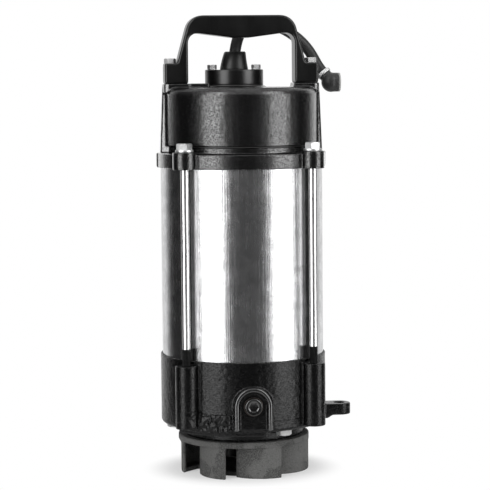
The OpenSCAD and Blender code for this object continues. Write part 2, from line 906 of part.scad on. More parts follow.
module impeller_nut() {
    color(bolt_steel) difference() {
        at_z(z_hub - impeller_washer_t - nut_h) hex_head(19, nut_h);
        at_z(z_shaft - cut) cylinder(r = thread_shaft_d / 2 + fit, h = nut_h + 20);
    }
}

// ---- Upper bracket and tie bolts ----

// Disc with two flats, where the cover's columns come down
module flatted_disc(z, h, r, half_x) {
    intersection() {
        pipe(z, h, r);
        translate([-half_x, -r, z]) cube([2 * half_x, 2 * r, h]);
    }
}

module neck_ring(z, h) {
    difference() {
        flatted_disc(z, h, cover_neck_r, column_inner_x + 2.5);
        flatted_disc(z - cut, h + 2 * cut, cover_neck_r - 5.5, cavity_x);
    }
}

module upper_bracket() {
    color(cast_black) difference() {
        union() {
            difference() {
                pipe(z_bracket, bracket_t, bracket_r);
                at_z(z_bracket - cut) cylinder(r = tube_r + fit, h = tube_socket + cut);
            }
            pipe(z_bracket - bracket_spigot_h, bracket_spigot_h + tube_socket + 1,
                 tube_bore_r - 2 * fit, tube_bore_r - 14);
            pipe(z_upper_bearing, z_bracket_floor - z_upper_bearing + 1,
                 upper_bearing[1] / 2 + 6);
            neck_ring(z_bracket_top - 1, cover_neck_h + 1);
            for (a = tie_angles) rotate(a) translate([tie_circle_r, 0, z_bracket])
                cylinder(d = tie_lug_d, h = z_lug_top - z_bracket);
            for (x = [-lobe_reach, lobe_reach]) translate([x, 0, z_bracket])
                cylinder(d = column_w, h = bracket_t);
        }
        difference() {
            at_z(z_bracket - cut) cylinder(r = tube_r + fit, h = tube_socket + cut);
            at_z(z_bracket - 2 * cut)
                cylinder(r = tube_bore_r - 2 * fit, h = tube_socket + 4 * cut);
        }
        ring_groove(z_bracket - 4, tube_bore_r - 2 * fit, 2.8);
        at_z(z_upper_bearing - cut)
            cylinder(d = upper_bearing[1] + fit, h = upper_bearing[2] + cut);
        at_z(z_upper_pocket - cut)
            cylinder(r = (upper_bearing[0] + upper_bearing[1]) / 4, h = 4 + cut);
        for (a = tie_angles) rotate(a) translate([tie_circle_r, 0, z_bracket - cut])
            cylinder(d = tie_d + 1, h = z_lug_top - z_bracket + 2 * cut);
        for (x = [-handle_bolt_x, handle_bolt_x]) translate([x, 0, z_bracket_top - bolt_grip - 1])
            cylinder(d = handle_bolt_d + fit, h = bolt_grip + 1 + cut);
        translate([0, motor_lead_y, z_bracket_floor - cut])
            cylinder(d = 18, h = bracket_floor_t + 2 * cut);
    }
}

module upper_tube_o_ring() {
    color(rubber_black) o_ring(z_bracket - 4, tube_bore_r - 0.05 - ring_section / 2);
}

module tie_bolts() {
    z_head = z_lug_top + washer_t;
    color(bolt_steel) for (a = tie_angles) rotate(a) translate([tie_circle_r, 0, 0]) {
        at_z(z_head) hex_head(tie_head_w, tie_head_h);
        at_z(z_boss_top - tie_grip) cylinder(d = tie_d, h = z_head - z_boss_top + tie_grip);
    }
}

module tie_washers() {
    color(bolt_steel) for (a = tie_angles) rotate(a) translate([tie_circle_r, 0, 0])
        pipe(z_lug_top, washer_t, 2 * tie_d / 2 + 0.5, tie_d / 2 + 0.3);
}

// ---- Terminal space under the cover ----

module terminal_block() {
    color(plastic_black) difference() {
        translate([-block_size.x / 2, block_y - block_size.y / 2, z_bracket_top]) cube(block_size);
        for (i = [-1:1]) {
            translate([i * motor_lead_pitch, motor_lead_y, z_bracket_top - cut])
                cylinder(d = motor_lead_d + 2 * fit, h = 6 + cut);
            translate([i * core_pitch, block_y, z_block_top - 5])
                cylinder(d = 5, h = 5 + cut);
        }
    }
}

// Leads stand on the winding, and enter the block upright
module motor_leads() {
    up = [0, 0, 1];
    color([0.6, 0.15, 0.1]) for (i = [-1:1]) {
        foot = [i * motor_lead_pitch, coil_lead_y, z_coil_top];
        top = [i * motor_lead_pitch, motor_lead_y, z_bracket_top + 5];
        bend = [top.x, top.y, z_bracket_floor - 3];
        swept_tube([foot, foot + 3 * up, bend, top], motor_lead_d / 2, 24, up, up);
    }
}

// Two directions square to the way t
function frame_of(t) =
    let (side = unit(cross(t, [0.31, 0.87, 0.05])))
    [side, cross(side, t)];

// Tube swept along points, its ends square to the ways `first` and `final`
module swept_tube(points, r, sides, first, final) {
    last = len(points) - 1;
    ways = [for (i = [0:last])
        i == 0 ? first : i == last ? final : unit(points[i + 1] - points[i - 1])];
    rings = [for (i = [0:last], k = [0:sides - 1])
        let (f = frame_of(ways[i]), a = 360 * k / sides)
        points[i] + r * (cos(a) * f[0] + sin(a) * f[1])];
    walls = [for (i = [0:last - 1], k = [0:sides - 1], half = [0, 1])
        let (n = (k + 1) % sides, a = i * sides, b = a + sides)
        half == 0 ? [a + k, a + n, b + n] : [a + k, b + n, b + k]];
    caps = [for (k = [1:sides - 2], end = [0, 1])
        end == 0 ? [0, k + 1, k] : [last * sides, last * sides + k, last * sides + k + 1]];
    polyhedron(rings, concat(walls, caps));
}

module cable_cores() {
    core_r = 1.3;
    color([0.25, 0.3, 0.6]) for (i = [-1:1]) {
        top = [gland_x + 2.8 * i, gland_y, z_lead_low];
        foot = [i * core_pitch, block_y, z_block_top - 5];
        swept_tube([top, top - [0, 1, 6], (top + foot) / 2 + [0, 0, 6], foot + [0, 2, 16],
                    foot + [0, 0, 8], foot], core_r, 6, [0, 0, -1], [0, 0, -1]);
    }
}

module cover_gasket() {
    color(rubber_black) neck_ring(z_gasket, cover_gasket_t);
}

// ---- Cover, handle and gland ----

// Rounded cap, as a solid
module cap_solid(z, h, r, edge) {
    at_z(z) rotate_extrude() {
        square([r, h - edge]);
        square([r - edge, h]);
        translate([r - edge, h - edge]) intersection() {
            circle(r = edge, $fn = 64);
            square(edge);
        }
    }
}

module column(side) {
    mirror([side < 0 ? 1 : 0, 0, 0]) {
        translate([0, column_w / 2, 0]) rotate([90, 0, 0]) linear_extrude(column_w)
            polygon([[column_inner_x, z_cover], [column_inner_x + 3, z_cover],
                     [column_inner_x + 3, z_bracket_top], [column_foot_x, z_bracket_top],
                     [column_top_x, z_pad], [column_inner_x, z_pad]]);
        intersection() {
            translate([pad_inner_x, -pad_w / 2, z_pad - pad_t])
                cube([column_top_x - pad_inner_x, pad_w, pad_t]);
            at_z(z_pad - pad_t) cylinder(r = column_top_x, h = pad_t);
        }
    }
}

module top_cover() {
    color(cast_black) difference() {
        union() {
            cap_solid(z_cover, cover_h, cover_r, cover_edge_r);
            for (side = [-1, 1]) column(side);
            translate([gland_x, gland_y, z_cover_top - 2])
                cylinder(r = gland_d / 2 + 2, h = gland_pad_t + 2);
            translate([-pad_inner_x - 2, -land_w / 2, z_cover_top - 2])
                cube([pad_inner_x + 2 - land_x, land_w, pad_h + 2]);
        }
        flatted_disc(z_cover - cut, cover_h - cover_top_t + cut, cavity_r, cavity_x);
        for (x = [-handle_bolt_x, handle_bolt_x]) translate([x, 0, z_bracket_top - cut])
            cylinder(d = handle_bolt_d + 0.6, h = z_pad - z_bracket_top + 2 * cut);
        translate([gland_x, gland_y, z_cover_top - cover_top_t - cut])
            cylinder(d = lead_d + 2 * gap, h = cover_top_t + gland_pad_t + 2 * cut);
        for (x = [-gland_screw_x, gland_screw_x])
            translate([gland_x + x, gland_y, z_cover_top - 6])
                cylinder(d = gland_screw_d + fit, h = 6 + gland_pad_t + cut);
    }
}

// Right half of the handle's outline, from the foot up, and back down inside it
handle_half = concat(
    [[leg_inner_x, z_pad], [handle_foot_x, z_pad], [handle_foot_x, z_pad + foot_h],
     [leg_x, z_pad + foot_h]],
    arc([corner_x, z_handle_top - outer_corner_r], outer_corner_r, leg_lean, 90, 8)
);
handle_inside = concat(
    [[8, z_grip - grip_sag]],
    arc([leg_inner_x - inner_corner_r, z_grip - inner_corner_r], inner_corner_r, 90, 0, 6)
);

function mirrored(points) = [for (i = [len(points) - 1:-1:0]) [-points[i].x, points[i].y]];

module handle() {
    outline = concat(handle_inside, handle_half, mirrored(handle_half), mirrored(handle_inside));
    color(plastic_black) difference() {
        translate([0, handle_depth / 2, 0]) rotate([90, 0, 0])
            linear_extrude(handle_depth) polygon(outline);
        for (x = [-handle_bolt_x, handle_bolt_x]) translate([x, 0, z_pad - cut])
            cylinder(d = handle_bolt_d + 0.6, h = foot_h + 2 * cut);
    }
}

module handle_bolts() {
    z_low = z_bracket_top - bolt_grip;
    z_head = z_pad + foot_h;
    color(bolt_steel) for (x = [-handle_bolt_x, handle_bolt_x]) translate([x, 0, 0]) {
        at_z(z_head) hex_head(bolt_head_w, bolt_head_h);
        at_z(z_low) cylinder(d = handle_bolt_d, h = z_head - z_low);
    }
}

module at_gland(z) {
    translate([gland_x, gland_y, z]) children();
}

module gland_gasket() {
    color(rubber_black) at_gland(z_gland_gasket) difference() {
        cylinder(d = gland_d, h = gland_gasket_t);
        at_z(-cut) cylinder(d = lead_d + 2 * gap, h = gland_gasket_t + 2 * cut);
        for (x = [-gland_screw_x, gland_screw_x]) translate([x, 0, -cut])
            cylinder(d = gland_screw_d + 0.5, h = gland_gasket_t + 2 * cut);
    }
}

module gland_flange() {
    color(cast_black) at_gland(z_gland) difference() {
        cylinder(d = gland_d, h = gland_h);
        at_z(-cut) cylinder(d = lead_d + 2 * fit, h = gland_floor_t + 2 * cut);
        at_z(gland_floor_t) cylinder(r = boot_sleeve_r + fit, h = gland_h);
        for (x = [-gland_screw_x, gland_screw_x]) translate([x, 0, -cut])
            cylinder(d = gland_screw_d + 0.5, h = gland_h + 2 * cut);
    }
}

module gland_screws() {
    low = z_cover_top - 5 - z_gland_top;
    color(bolt_steel) at_gland(z_gland_top) for (x = [-gland_screw_x, gland_screw_x])
        translate([x, 0, 0]) {
            cylinder(d = 9, h = 1.2);
            at_z(1.2) hex_head(8, 3.6);
            at_z(low) cylinder(d = gland_screw_d, h = -low);
        }
}

// Tapered boot, with a sleeve that goes down into the flange
module gland_boot() {
    sleeve_l = gland_h - gland_floor_t;
    color(rubber_black) at_gland(z_gland_top) difference() {
        union() {
            cylinder(r1 = boot_foot_r, r2 = boot_top_r, h = boot_h);
            at_z(-sleeve_l) cylinder(r = boot_sleeve_r, h = sleeve_l + 1);
        }
        at_z(-sleeve_l - cut) cylinder(r = lead_r + fit, h = sleeve_l + boot_h + 2 * cut);
    }
}

module lead_inner_end() {
    color(rubber_black) at_gland(z_lead_low) cylinder(r = lead_r, h = z_lead_start - z_lead_low);
}

// ---- Free lead and its connector ----

// Points of the route with one more beyond each end, so the curve meets the ends
route_last = len(lead_route) - 1;
lead_points = [for (p = lead_route) p + lead_shift];
route_ends = concat([2 * lead_points[0] - lead_points[1]], lead_points,
                    [2 * lead_points[route_last] - lead_points[route_last - 1]]);
lead_line = [for (i = [1:route_last + 1])
    (route_ends[i - 1] + 4 * route_ends[i] + route_ends[i + 1]) / 6];
lead_end = lead_points[route_last];
lead_way = unit(lead_end - lead_points[route_last - 1]);
nut_end = lead_end + nut_l * lead_way;
elbow = nut_end + elbow_drop * lead_way;

module lead() {
    color(rubber_black) swept_tube(lead_line, lead_r, lead_sides, [0, 0, 1], lead_way);
}

// Turns +Z to the way the lead points at its end
module along_lead(from) {
    tilt = acos(lead_way.z);
    turn = atan2(lead_way.y, lead_way.x);
    translate(from) rotate([0, tilt, turn]) children();
}

module connector_nut() {
    color(bolt_steel) along_lead(lead_end) cylinder(r = nut_r, h = nut_l);
}

module connector_body() {
    color(rubber_black) difference() {
        union() {
            along_lead(nut_end) cylinder(r = nut_r - 1, h = elbow_drop);
            translate(elbow) rotate([0, 90, 0]) rotate_extrude() {
                intersection() {
                    circle(r = elbow_r);
                    translate([0, -elbow_r]) square([elbow_r, elbow_r + barrel_l]);
                }
                square([barrel_r, barrel_l]);
            }
        }
        translate(elbow + [barrel_l - socket_depth, 0, 0]) rotate([0, 90, 0])
            cylinder(r = socket_r, h = socket_depth + elbow_r);
    }
}

module connector_rim() {
    color(steel) translate(elbow + [barrel_l, 0, 0]) rotate([0, 90, 0])
        pipe(0, rim_t, barrel_r, socket_r);
}

module connector_pins() {
    color(brass_yellow) for (k = [0:3])
        translate(elbow + [barrel_l - socket_depth, 0, 0]) rotate([0, 90, 0])
            rotate(90 * k + 45) translate([pin_circle_r, 0, 0])
                cylinder(r = pin_r, h = pin_l, $fn = 24);
}

strainer();
strainer_screws();
suction_plate();
suction_plate_bolts();
pump_casing();
drain_plug();
drain_plug_washer();
seal_plate();
seal_plate_screws();
casing_o_ring();
seal_housing();
seal_seat();
lip_seal();
lower_tube_o_ring();
motor_tube();
stator_core();
stator_windings();
thermal_protector();
upper_bracket();
upper_tube_o_ring();
tie_bolts();
tie_washers();
terminal_block();
motor_leads();
cable_cores();
cover_gasket();
top_cover();
handle();
handle_bolts();
gland_gasket();
gland_flange();
gland_screws();
gland_boot();
lead_inner_end();
lead();
connector_nut();
connector_body();
connector_rim();
connector_pins();
lower_bearing_outer_ring();
upper_bearing_outer_ring();
shaft();
rotor_core();
rotor_end_rings();
impeller();
impeller_key();
impeller_washer();
impeller_nut();
seal_ring();
seal_bellows();
lower_bearing_inner_ring();
upper_bearing_inner_ring();
lower_bearing_cage();
lower_bearing_balls();
upper_bearing_cage();
upper_bearing_balls();
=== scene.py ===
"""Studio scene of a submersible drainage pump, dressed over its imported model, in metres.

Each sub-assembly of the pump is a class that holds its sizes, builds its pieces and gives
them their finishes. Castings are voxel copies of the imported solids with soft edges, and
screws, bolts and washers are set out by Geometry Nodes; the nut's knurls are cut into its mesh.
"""

import json
import logging
from dataclasses import dataclass
from enum import Enum
from functools import cache
from math import atan2, copysign, cos, hypot, pi, radians, sin, sqrt, tan
from typing import Any, Callable, Iterable, Sequence

import bmesh
import bpy
import numpy as np
from mathutils import Matrix, Vector, noise


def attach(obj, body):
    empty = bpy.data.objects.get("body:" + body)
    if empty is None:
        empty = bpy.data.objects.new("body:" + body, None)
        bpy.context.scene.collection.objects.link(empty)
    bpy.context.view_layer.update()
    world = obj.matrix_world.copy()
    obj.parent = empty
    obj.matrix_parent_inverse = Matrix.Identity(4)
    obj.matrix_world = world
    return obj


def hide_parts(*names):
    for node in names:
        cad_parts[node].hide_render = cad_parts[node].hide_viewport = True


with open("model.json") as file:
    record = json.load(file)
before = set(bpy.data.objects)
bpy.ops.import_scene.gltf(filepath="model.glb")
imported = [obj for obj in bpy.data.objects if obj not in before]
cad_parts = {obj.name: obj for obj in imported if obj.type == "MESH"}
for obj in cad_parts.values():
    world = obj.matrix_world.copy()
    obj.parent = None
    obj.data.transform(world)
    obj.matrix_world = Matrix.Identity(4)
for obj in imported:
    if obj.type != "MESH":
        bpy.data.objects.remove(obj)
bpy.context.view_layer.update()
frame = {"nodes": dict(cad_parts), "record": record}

log = logging.getLogger("pump")
Point = tuple[float, float, float]
Colour = tuple[float, float, float]
Outline = list[tuple[float, float]]
Reach = float | Callable[[float], float]  # radius, or radius at each angle
FULL_TURN = 2 * pi
WHITE = (1.0, 1.0, 1.0, 1.0)


class Body(Enum):
    """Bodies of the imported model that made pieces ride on."""

    ROOT = "root"
    ROTOR = "rotor"


# ---- Node sheets: shader and geometry trees written as sums ----


def operator(operation: str, mirrored: bool = False) -> Callable[..., "Signal"]:
    """Makes a method of Signal that adds one Math node.

    Args:
        operation: operation of the node.
        mirrored: True puts the other value first.

    Returns:
        The method.
    """

    def apply(self: "Signal", other: Any = 0.0) -> "Signal":
        """Result of the operation."""
        pair = (other, self) if mirrored else (self, other)
        return self.sheet.add("ShaderNodeMath", dict(enumerate(pair)), operation=operation)

    return apply


class Signal:
    """One node output that takes part in Python sums."""

    __add__, __radd__ = operator("ADD"), operator("ADD", True)
    __sub__, __rsub__ = operator("SUBTRACT"), operator("SUBTRACT", True)
    __mul__, __rmul__ = operator("MULTIPLY"), operator("MULTIPLY", True)
    __truediv__, __pow__ = operator("DIVIDE"), operator("POWER")
    wave, cosine, size = operator("SINE"), operator("COSINE"), operator("ABSOLUTE")
    at_least = operator("MAXIMUM")

    def __init__(self, sheet: "NodeSheet", socket: bpy.types.NodeSocket) -> None:
        """Keeps the socket and the sheet that it is on."""
        self.sheet = sheet
        self.socket = socket

    def step(self, low: float, high: float, at_low: float = 0.0, at_high: float = 1.0) -> "Signal":
        """Smooth step of self between two values.

        Args:
            low: value at which the step starts.
            high: value at which it ends.
            at_low: result before the step.
            at_high: result after it.

        Returns:
            The stepped signal.
        """
        inputs = dict(enumerate((self, low, high, at_low, at_high)))
        return self.sheet.add(
            "ShaderNodeMapRange", inputs, interpolation_type="SMOOTHSTEP", clamp=True
        )

    def fall(self, low: float, high: float) -> "Signal":
        """Smooth step down from 1 to 0."""
        return self.step(low, high, 1.0, 0.0)


class NodeSheet:
    """A node tree, with one method that adds any node to it."""

    def __init__(self, tree: bpy.types.NodeTree) -> None:
        """Takes over a tree and empties it."""
        self.tree = tree
        tree.nodes.clear()

    def add(
        self, kind: str, inputs: dict[Any, Any] | None = None, output: Any = 0, **settings: Any
    ) -> Signal:
        """Adds one node.

        Args:
            kind: the node's type.
            inputs: values or signals, by socket name or number.
            output: name or number of the output to return.
            settings: its properties, set before its sockets.

        Returns:
            The output as a signal.
        """
        node = self.tree.nodes.new(kind)
        for name, value in settings.items():
            setattr(node, name, value)
        for key, value in (inputs or {}).items():
            if isinstance(value, Signal):
                self.tree.links.new(value.socket, node.inputs[key])
            else:
                node.inputs[key].default_value = value
        return Signal(self, node.outputs[output] if node.outputs else None)

    def mix(self, amount: Any, first: Any, second: Any) -> Signal:
        """Mixes two colours by an amount from 0 to 1."""
        inputs = {0: amount, 6: first, 7: second}
        return self.add("ShaderNodeMix", inputs, 2, data_type="RGBA", clamp_factor=True)


class SurfaceSheet(NodeSheet):
    """Node sheet of one material, with the textures that the finishes share."""

    def __init__(self, name: str) -> None:
        """Starts a material.

        Args:
            name: name of the material.
        """
        self.material = bpy.data.materials.new(name)
        self.material.use_nodes = True
        super().__init__(self.material.node_tree)
        self.place = self.add("ShaderNodeTexCoord", output="Object")

    def noise(
        self, size: float, detail: float = 2.0, rough: float = 0.5, at: Signal | None = None
    ) -> Signal:
        """Noise from 0 to 1 whose lumps are `size` metres across."""
        inputs = {"Vector": at or self.place, "Scale": 1 / size}
        return self.add("ShaderNodeTexNoise", inputs | {"Detail": detail, "Roughness": rough})

    def streaks(
        self, scale: Point, detail: float = 2.0, rough: float = 0.5, at: Signal | None = None
    ) -> Signal:
        """Noise from 0 to 1, with its own number of lumps a metre along each axis."""
        inputs = {"Vector": at or self.place, "Scale": scale}
        return self.noise(1.0, detail, rough, self.add("ShaderNodeMapping", inputs))

    def cells(self, size: float) -> Signal:
        """Distance to the nearest of scattered points, `size` metres apart."""
        return self.add("ShaderNodeTexVoronoi", {"Vector": self.place, "Scale": 1 / size})

    def axis(self, number: int) -> Signal:
        """One of the object coordinates, in metres."""
        return self.add("ShaderNodeSeparateXYZ", {0: self.place}, number)

    def edges(self) -> Signal:
        """1 along outer edges, 0 elsewhere."""
        return self.add("ShaderNodeNewGeometry", output="Pointiness").step(0.53, 0.62)

    def tones(self, amount: Any, colour: Colour, low: float, high: float) -> Signal:
        """A colour between two shades of it."""
        return self.mix(amount, shade(colour, low), shade(colour, high))

    def bump(self, depth: float, height: Signal, below: Signal | None = None) -> Signal:
        """Bump of that depth in metres, on top of another where one is given."""
        inputs = {"Strength": 1.0, "Distance": depth, "Height": height}
        return self.add("ShaderNodeBump", inputs | ({"Normal": below} if below else {}))

    def finish(self, **sockets: Any) -> bpy.types.Material:
        """Ends the sheet in a Principled shader.

        Args:
            sockets: its sockets, with underscores for the spaces in their names.

        Returns:
            The material.
        """
        names = {key.replace("_", " "): value for key, value in sockets.items()}
        shader = self.add("ShaderNodeBsdfPrincipled", names | {"Specular IOR Level": 0.5})
        self.add("ShaderNodeOutputMaterial", {"Surface": shader})
        return self.material


def shade(colour: Colour, times: float = 1.0) -> tuple[float, float, float, float]:
    """A colour with alpha, made lighter or darker."""
    return (colour[0] * times, colour[1] * times, colour[2] * times, 1.0)


def grey(tone: float) -> Colour:
    """A colour without a hue."""
    return (tone, tone, tone)


# ---- Finishes ----

RUBBED_AND_SHEEN = (0.3, 0.3, 0.29)  # paint or plastic rubbed pale at an edge, and a painted highlight along edges
DUST = (0.25, 0.25, 0.24)
DULLED = grey(0.03)  # oiled thread
THREAD_TOP = 0.1262  # height where the thread of the tie bolts ends
ARCH_Z = 0.0735  # height of the arched boss's middle
ARCH_RADIUS = 0.01585  # radius of the middle of its rim
ARCH_FLOOR = 0.081  # distance of its floor from the axis


@dataclass(frozen=True)
class Finish:
    """What every finish has.

    Args:
        name: name of the finish.
        colour: its colour.
        roughness: how dull it is.
    """

    name: str
    colour: Colour
    roughness: float

    def material(self) -> bpy.types.Material:
        """Builds the material."""
        s = SurfaceSheet(self.name)
        return s.finish(**self.sockets(s))

    def sockets(self, s: SurfaceSheet) -> dict[str, Any]:
        """Works out the surface on a sheet.

        Args:
            s: sheet of the material.

        Returns:
            Sockets of the Principled shader, by name.
        """
        raise NotImplementedError


@dataclass(frozen=True)
class CastFinish(Finish):
    """Paint over a casting, or a bare casting: orange peel, swells and pits.

    Args:
        ior: refractive index, which sets how strong the gloss is.
        metallic: 1 for bare iron.
        peel: size of the orange peel, and peel_depth its depth.
        swell_depth: depth of the slow swells of the cast wall.
        pit: distance between pits, and pit_depth their depth.
        grit: strength of the fine light and dark grains.
        wear_and_sheen: how much lighter outer edges are, partly as rubbed paint and partly as a
            painted highlight.
        gloss: least weight of the paint's clear coat, and glint how much its grains add to it.
        lift: how much lighter the pale patches are, and patch_full how soft their edges are.
        rubbed_x: distance from the axis, across x, beyond which the paint is rubbed to a gloss.
        rubbed_arch: height of the middle, radius and half width of an arch rubbed to a gloss.
        seam_z: height of the mould's seam, where it shows.
    """

    ior: float = 1.5
    metallic: float = 0.0
    peel: float = 0.0022
    peel_depth: float = 0.00022
    swell_depth: float = 0.0006
    pit: float = 0.0055
    pit_depth: float = 0.0003
    grit: float = 0.3
    wear_and_sheen: float = 0.12
    gloss: float = 0.0
    glint: float = 0.5
    lift: float = 1.5
    patch_full: float = 0.75
    rubbed_x: float = 0.0
    rubbed_arch: tuple[float, float, float] | None = None
    seam_z: float | None = None

    def sockets(self, s: SurfaceSheet) -> dict[str, Any]:
        """Works out the colour, roughness, clear coat and relief of the casting.

        Args:
            s: sheet of the material.

        Returns:
            Sockets of the Principled shader, by name.
        """
        peel = s.noise(self.peel, 2.0, 0.5)
        fine = s.noise(self.peel * 0.5, 1.0)
        swell = s.noise(0.014, 2.0)
        patch = s.noise(0.03, 3.0)
        pits = s.cells(self.pit).step(0.04, 0.16)
        height = peel * 0.7 + fine * 0.3
        if self.seam_z is not None:
            off = (s.axis(2) + s.noise(0.009) * 0.0012 - self.seam_z - 0.0006).size()
            seam = off.fall(0.0, 0.0007) * patch.step(0.47, 0.56)
            height = height + seam * 2.2
        normal = s.bump(self.swell_depth, swell)
        normal = s.bump(self.pit_depth, pits, normal)
        normal = s.bump(self.peel_depth, height, normal)
        tint = s.tones(fine.step(0.35, 0.7), self.colour, 1 - self.grit, 1 + self.grit)
        tint = s.mix(patch.step(0.5, self.patch_full) * 0.5, tint, shade(self.colour, self.lift))
        # painted highlight: outer edges are lightened towards a pale grey, partly as rubbed paint
        worn_and_sheen = s.edges() * s.noise(0.004).step(0.4, 0.6) * self.wear_and_sheen
        base = s.mix(worn_and_sheen, tint, shade(RUBBED_AND_SHEEN))
        # painted shade: the colour is darkened in the pits
        base = s.mix((1 - pits) * 0.8, base, shade(self.colour, 0.3))
        rough = self.roughness + (patch - 0.5) * 0.16 + (1 - pits) * 0.1
        grain = (peel * 0.5 + fine * 0.5).step(0.42, 0.58)
        coat = (grain * self.glint + self.gloss) * pits.step(0.0, 1.0, 0.2, 1.0)
        if self.rubbed_x:
            coat = coat + s.axis(0).size().step(self.rubbed_x, self.rubbed_x + 0.001)
        if self.rubbed_arch:
            coat = coat + self.arch_mask(s)
        return dict(
            Base_Color=base,
            Roughness=rough,
            Metallic=self.metallic,
            IOR=self.ior,
            Coat_Weight=coat,
            Coat_Roughness=0.22,
            Coat_IOR=1.8,
            Normal=normal,
        )

    def arch_mask(self, s: SurfaceSheet) -> Signal:
        """Finds the rubbed rim of the arch at the front.

        Args:
            s: sheet of the material.

        Returns:
            1 on the rim, 0 elsewhere.
        """
        middle, radius, half = self.rubbed_arch
        rise = (s.axis(2) - middle).at_least(0.0)
        across = s.axis(0)
        off = ((across * across + rise * rise) ** 0.5 - radius).size()
        front = s.axis(1).fall(-ARCH_FLOOR - 0.0005, -ARCH_FLOOR + 0.0005)
        return off.fall(half, half + 0.0006) * front


@dataclass(frozen=True)
class TubeFinish(Finish):
    """Drawn stainless tube with fine lengthwise streaks."""

    def sockets(self, s: SurfaceSheet) -> dict[str, Any]:
        """Works out the streaks, mottle and specks of the drawn tube.

        Args:
            s: sheet of the material.

        Returns:
            Sockets of the Principled shader, by name.
        """
        streak = s.streaks((1100.0, 1100.0, 9.0), 2.0, 0.6)
        broad = s.streaks((160.0, 160.0, 14.0), 3.0)
        cloud = s.noise(0.02, 4.0)
        mottle = s.noise(0.014, 6.0, 0.72).step(0.4, 0.6)
        specks = s.cells(0.011).step(0.02, 0.05)
        normal = s.bump(0.00009, streak * 0.95 + cloud * 0.05)
        base = s.tones(broad.step(0.3, 0.7), self.colour, 0.9, 1.03)
        base = s.mix(mottle * 0.5, base, shade(self.colour, 0.55))
        base = s.mix((1 - specks) * 0.35, base, shade(self.colour, 0.45))
        rough = self.roughness + (streak - 0.5) * 0.12 + (cloud - 0.5) * 0.1
        return dict(Base_Color=base, Roughness=rough, Metallic=1.0, Normal=normal)


@dataclass(frozen=True)
class MetalFinish(Finish):
    """Turned, rolled or plated metal, with handling marks.

    Args:
        lines: spacing of turned lines along z, or 0 for none.
        blotch: how much the tone changes from place to place.
        dark_z: height below which the metal is dull and dark, where there is one.
    """

    lines: float = 0.0
    blotch: float = 0.1
    dark_z: float | None = None

    def sockets(self, s: SurfaceSheet) -> dict[str, Any]:
        """Works out the tone, marks and turned lines of the metal.

        Args:
            s: sheet of the material.

        Returns:
            Sockets of the Principled shader, by name.
        """
        cloud = s.noise(0.004, 3.0)
        marks = s.noise(0.0006, 2.0, 0.6)
        height = marks
        if self.lines:
            height = (s.axis(2) * (FULL_TURN / self.lines)).wave() * 0.3 + marks * 0.4
        normal = s.bump(0.000012, height)
        base = s.tones(cloud, self.colour, 1 - self.blotch, 1 + self.blotch / 2)
        rough = self.roughness + (cloud - 0.5) * 0.18 + (marks - 0.5) * 0.08
        if self.dark_z is not None:
            low, high = self.dark_z, self.dark_z + 0.0006
            dull = (s.axis(2) + (cloud - 0.5) * 0.002).fall(low, high)
            base = s.mix(dull, base, shade(DULLED))
            rough = rough + dull * 0.25
        return dict(Base_Color=base, Roughness=rough, Metallic=1.0, Normal=normal)


@dataclass(frozen=True)
class MouldedFinish(Finish):
    """Moulded rubber, plastic or varnish: fine grain, faint flow marks, and paler edges that are
    partly rubbed and partly a painted highlight.

    Args:
        grain: size of the moulded grain, and depth its depth.
        dust: how much pale dust lies in the grain.
        wear_and_sheen: how much paler outer edges are, partly as rubbed plastic and partly as a
            painted highlight.
    """

    grain: float = 0.0005
    depth: float = 0.00002
    dust: float = 0.1
    wear_and_sheen: float = 0.15

    def sockets(self, s: SurfaceSheet) -> dict[str, Any]:
        """Works out the grain, flow marks and dust of the moulding.

        Args:
            s: sheet of the material.

        Returns:
            Sockets of the Principled shader, by name.
        """
        grain = s.noise(self.grain, 2.0, 0.6)
        flow = s.streaks((60.0, 60.0, 25.0))
        dust = grain.step(0.45, 0.7) * flow.step(0.35, 0.75) * self.dust
        base = s.tones(flow, self.colour, 0.85, 1.2)
        base = s.mix(dust, base, shade(DUST))
        # painted highlight: outer edges are lightened towards a pale grey, partly as rubbed plastic
        base = s.mix(s.edges() * self.wear_and_sheen, base, shade(RUBBED_AND_SHEEN))
        rough = self.roughness + (flow - 0.5) * 0.12 + (grain - 0.5) * 0.1
        return dict(Base_Color=base, Roughness=rough, Normal=s.bump(self.depth, grain))


@dataclass(frozen=True)
class LayerFinish(Finish):
    """Stacked laminations or wound wire, as fine bands.

    Args:
        band: thickness of one band.
        wound: True for wire laid round the shaft, False for flat sheets.
        metallic: metallic value.
    """

    band: float
    wound: bool = False
    metallic: float = 0.8

    def sockets(self, s: SurfaceSheet) -> dict[str, Any]:
        """Works out the bands and their tone.

        Args:
            s: sheet of the material.

        Returns:
            Sockets of the Principled shader, by name.
        """
        wander = s.noise(0.012, 2.0) * (0.0016 if self.wound else 0.0)
        along = s.axis(2) + wander
        band = (along * (FULL_TURN / self.band)).wave() * 0.5 + 0.5
        tone = s.noise(0.003, 2.0)
        base = s.tones(band * 0.6 + tone * 0.3, self.colour, 0.6, 1.15)
        rough = self.roughness + (tone - 0.5) * 0.2
        normal = s.bump(self.band * 0.3, band)
        return dict(Base_Color=base, Roughness=rough, Metallic=self.metallic, Normal=normal)


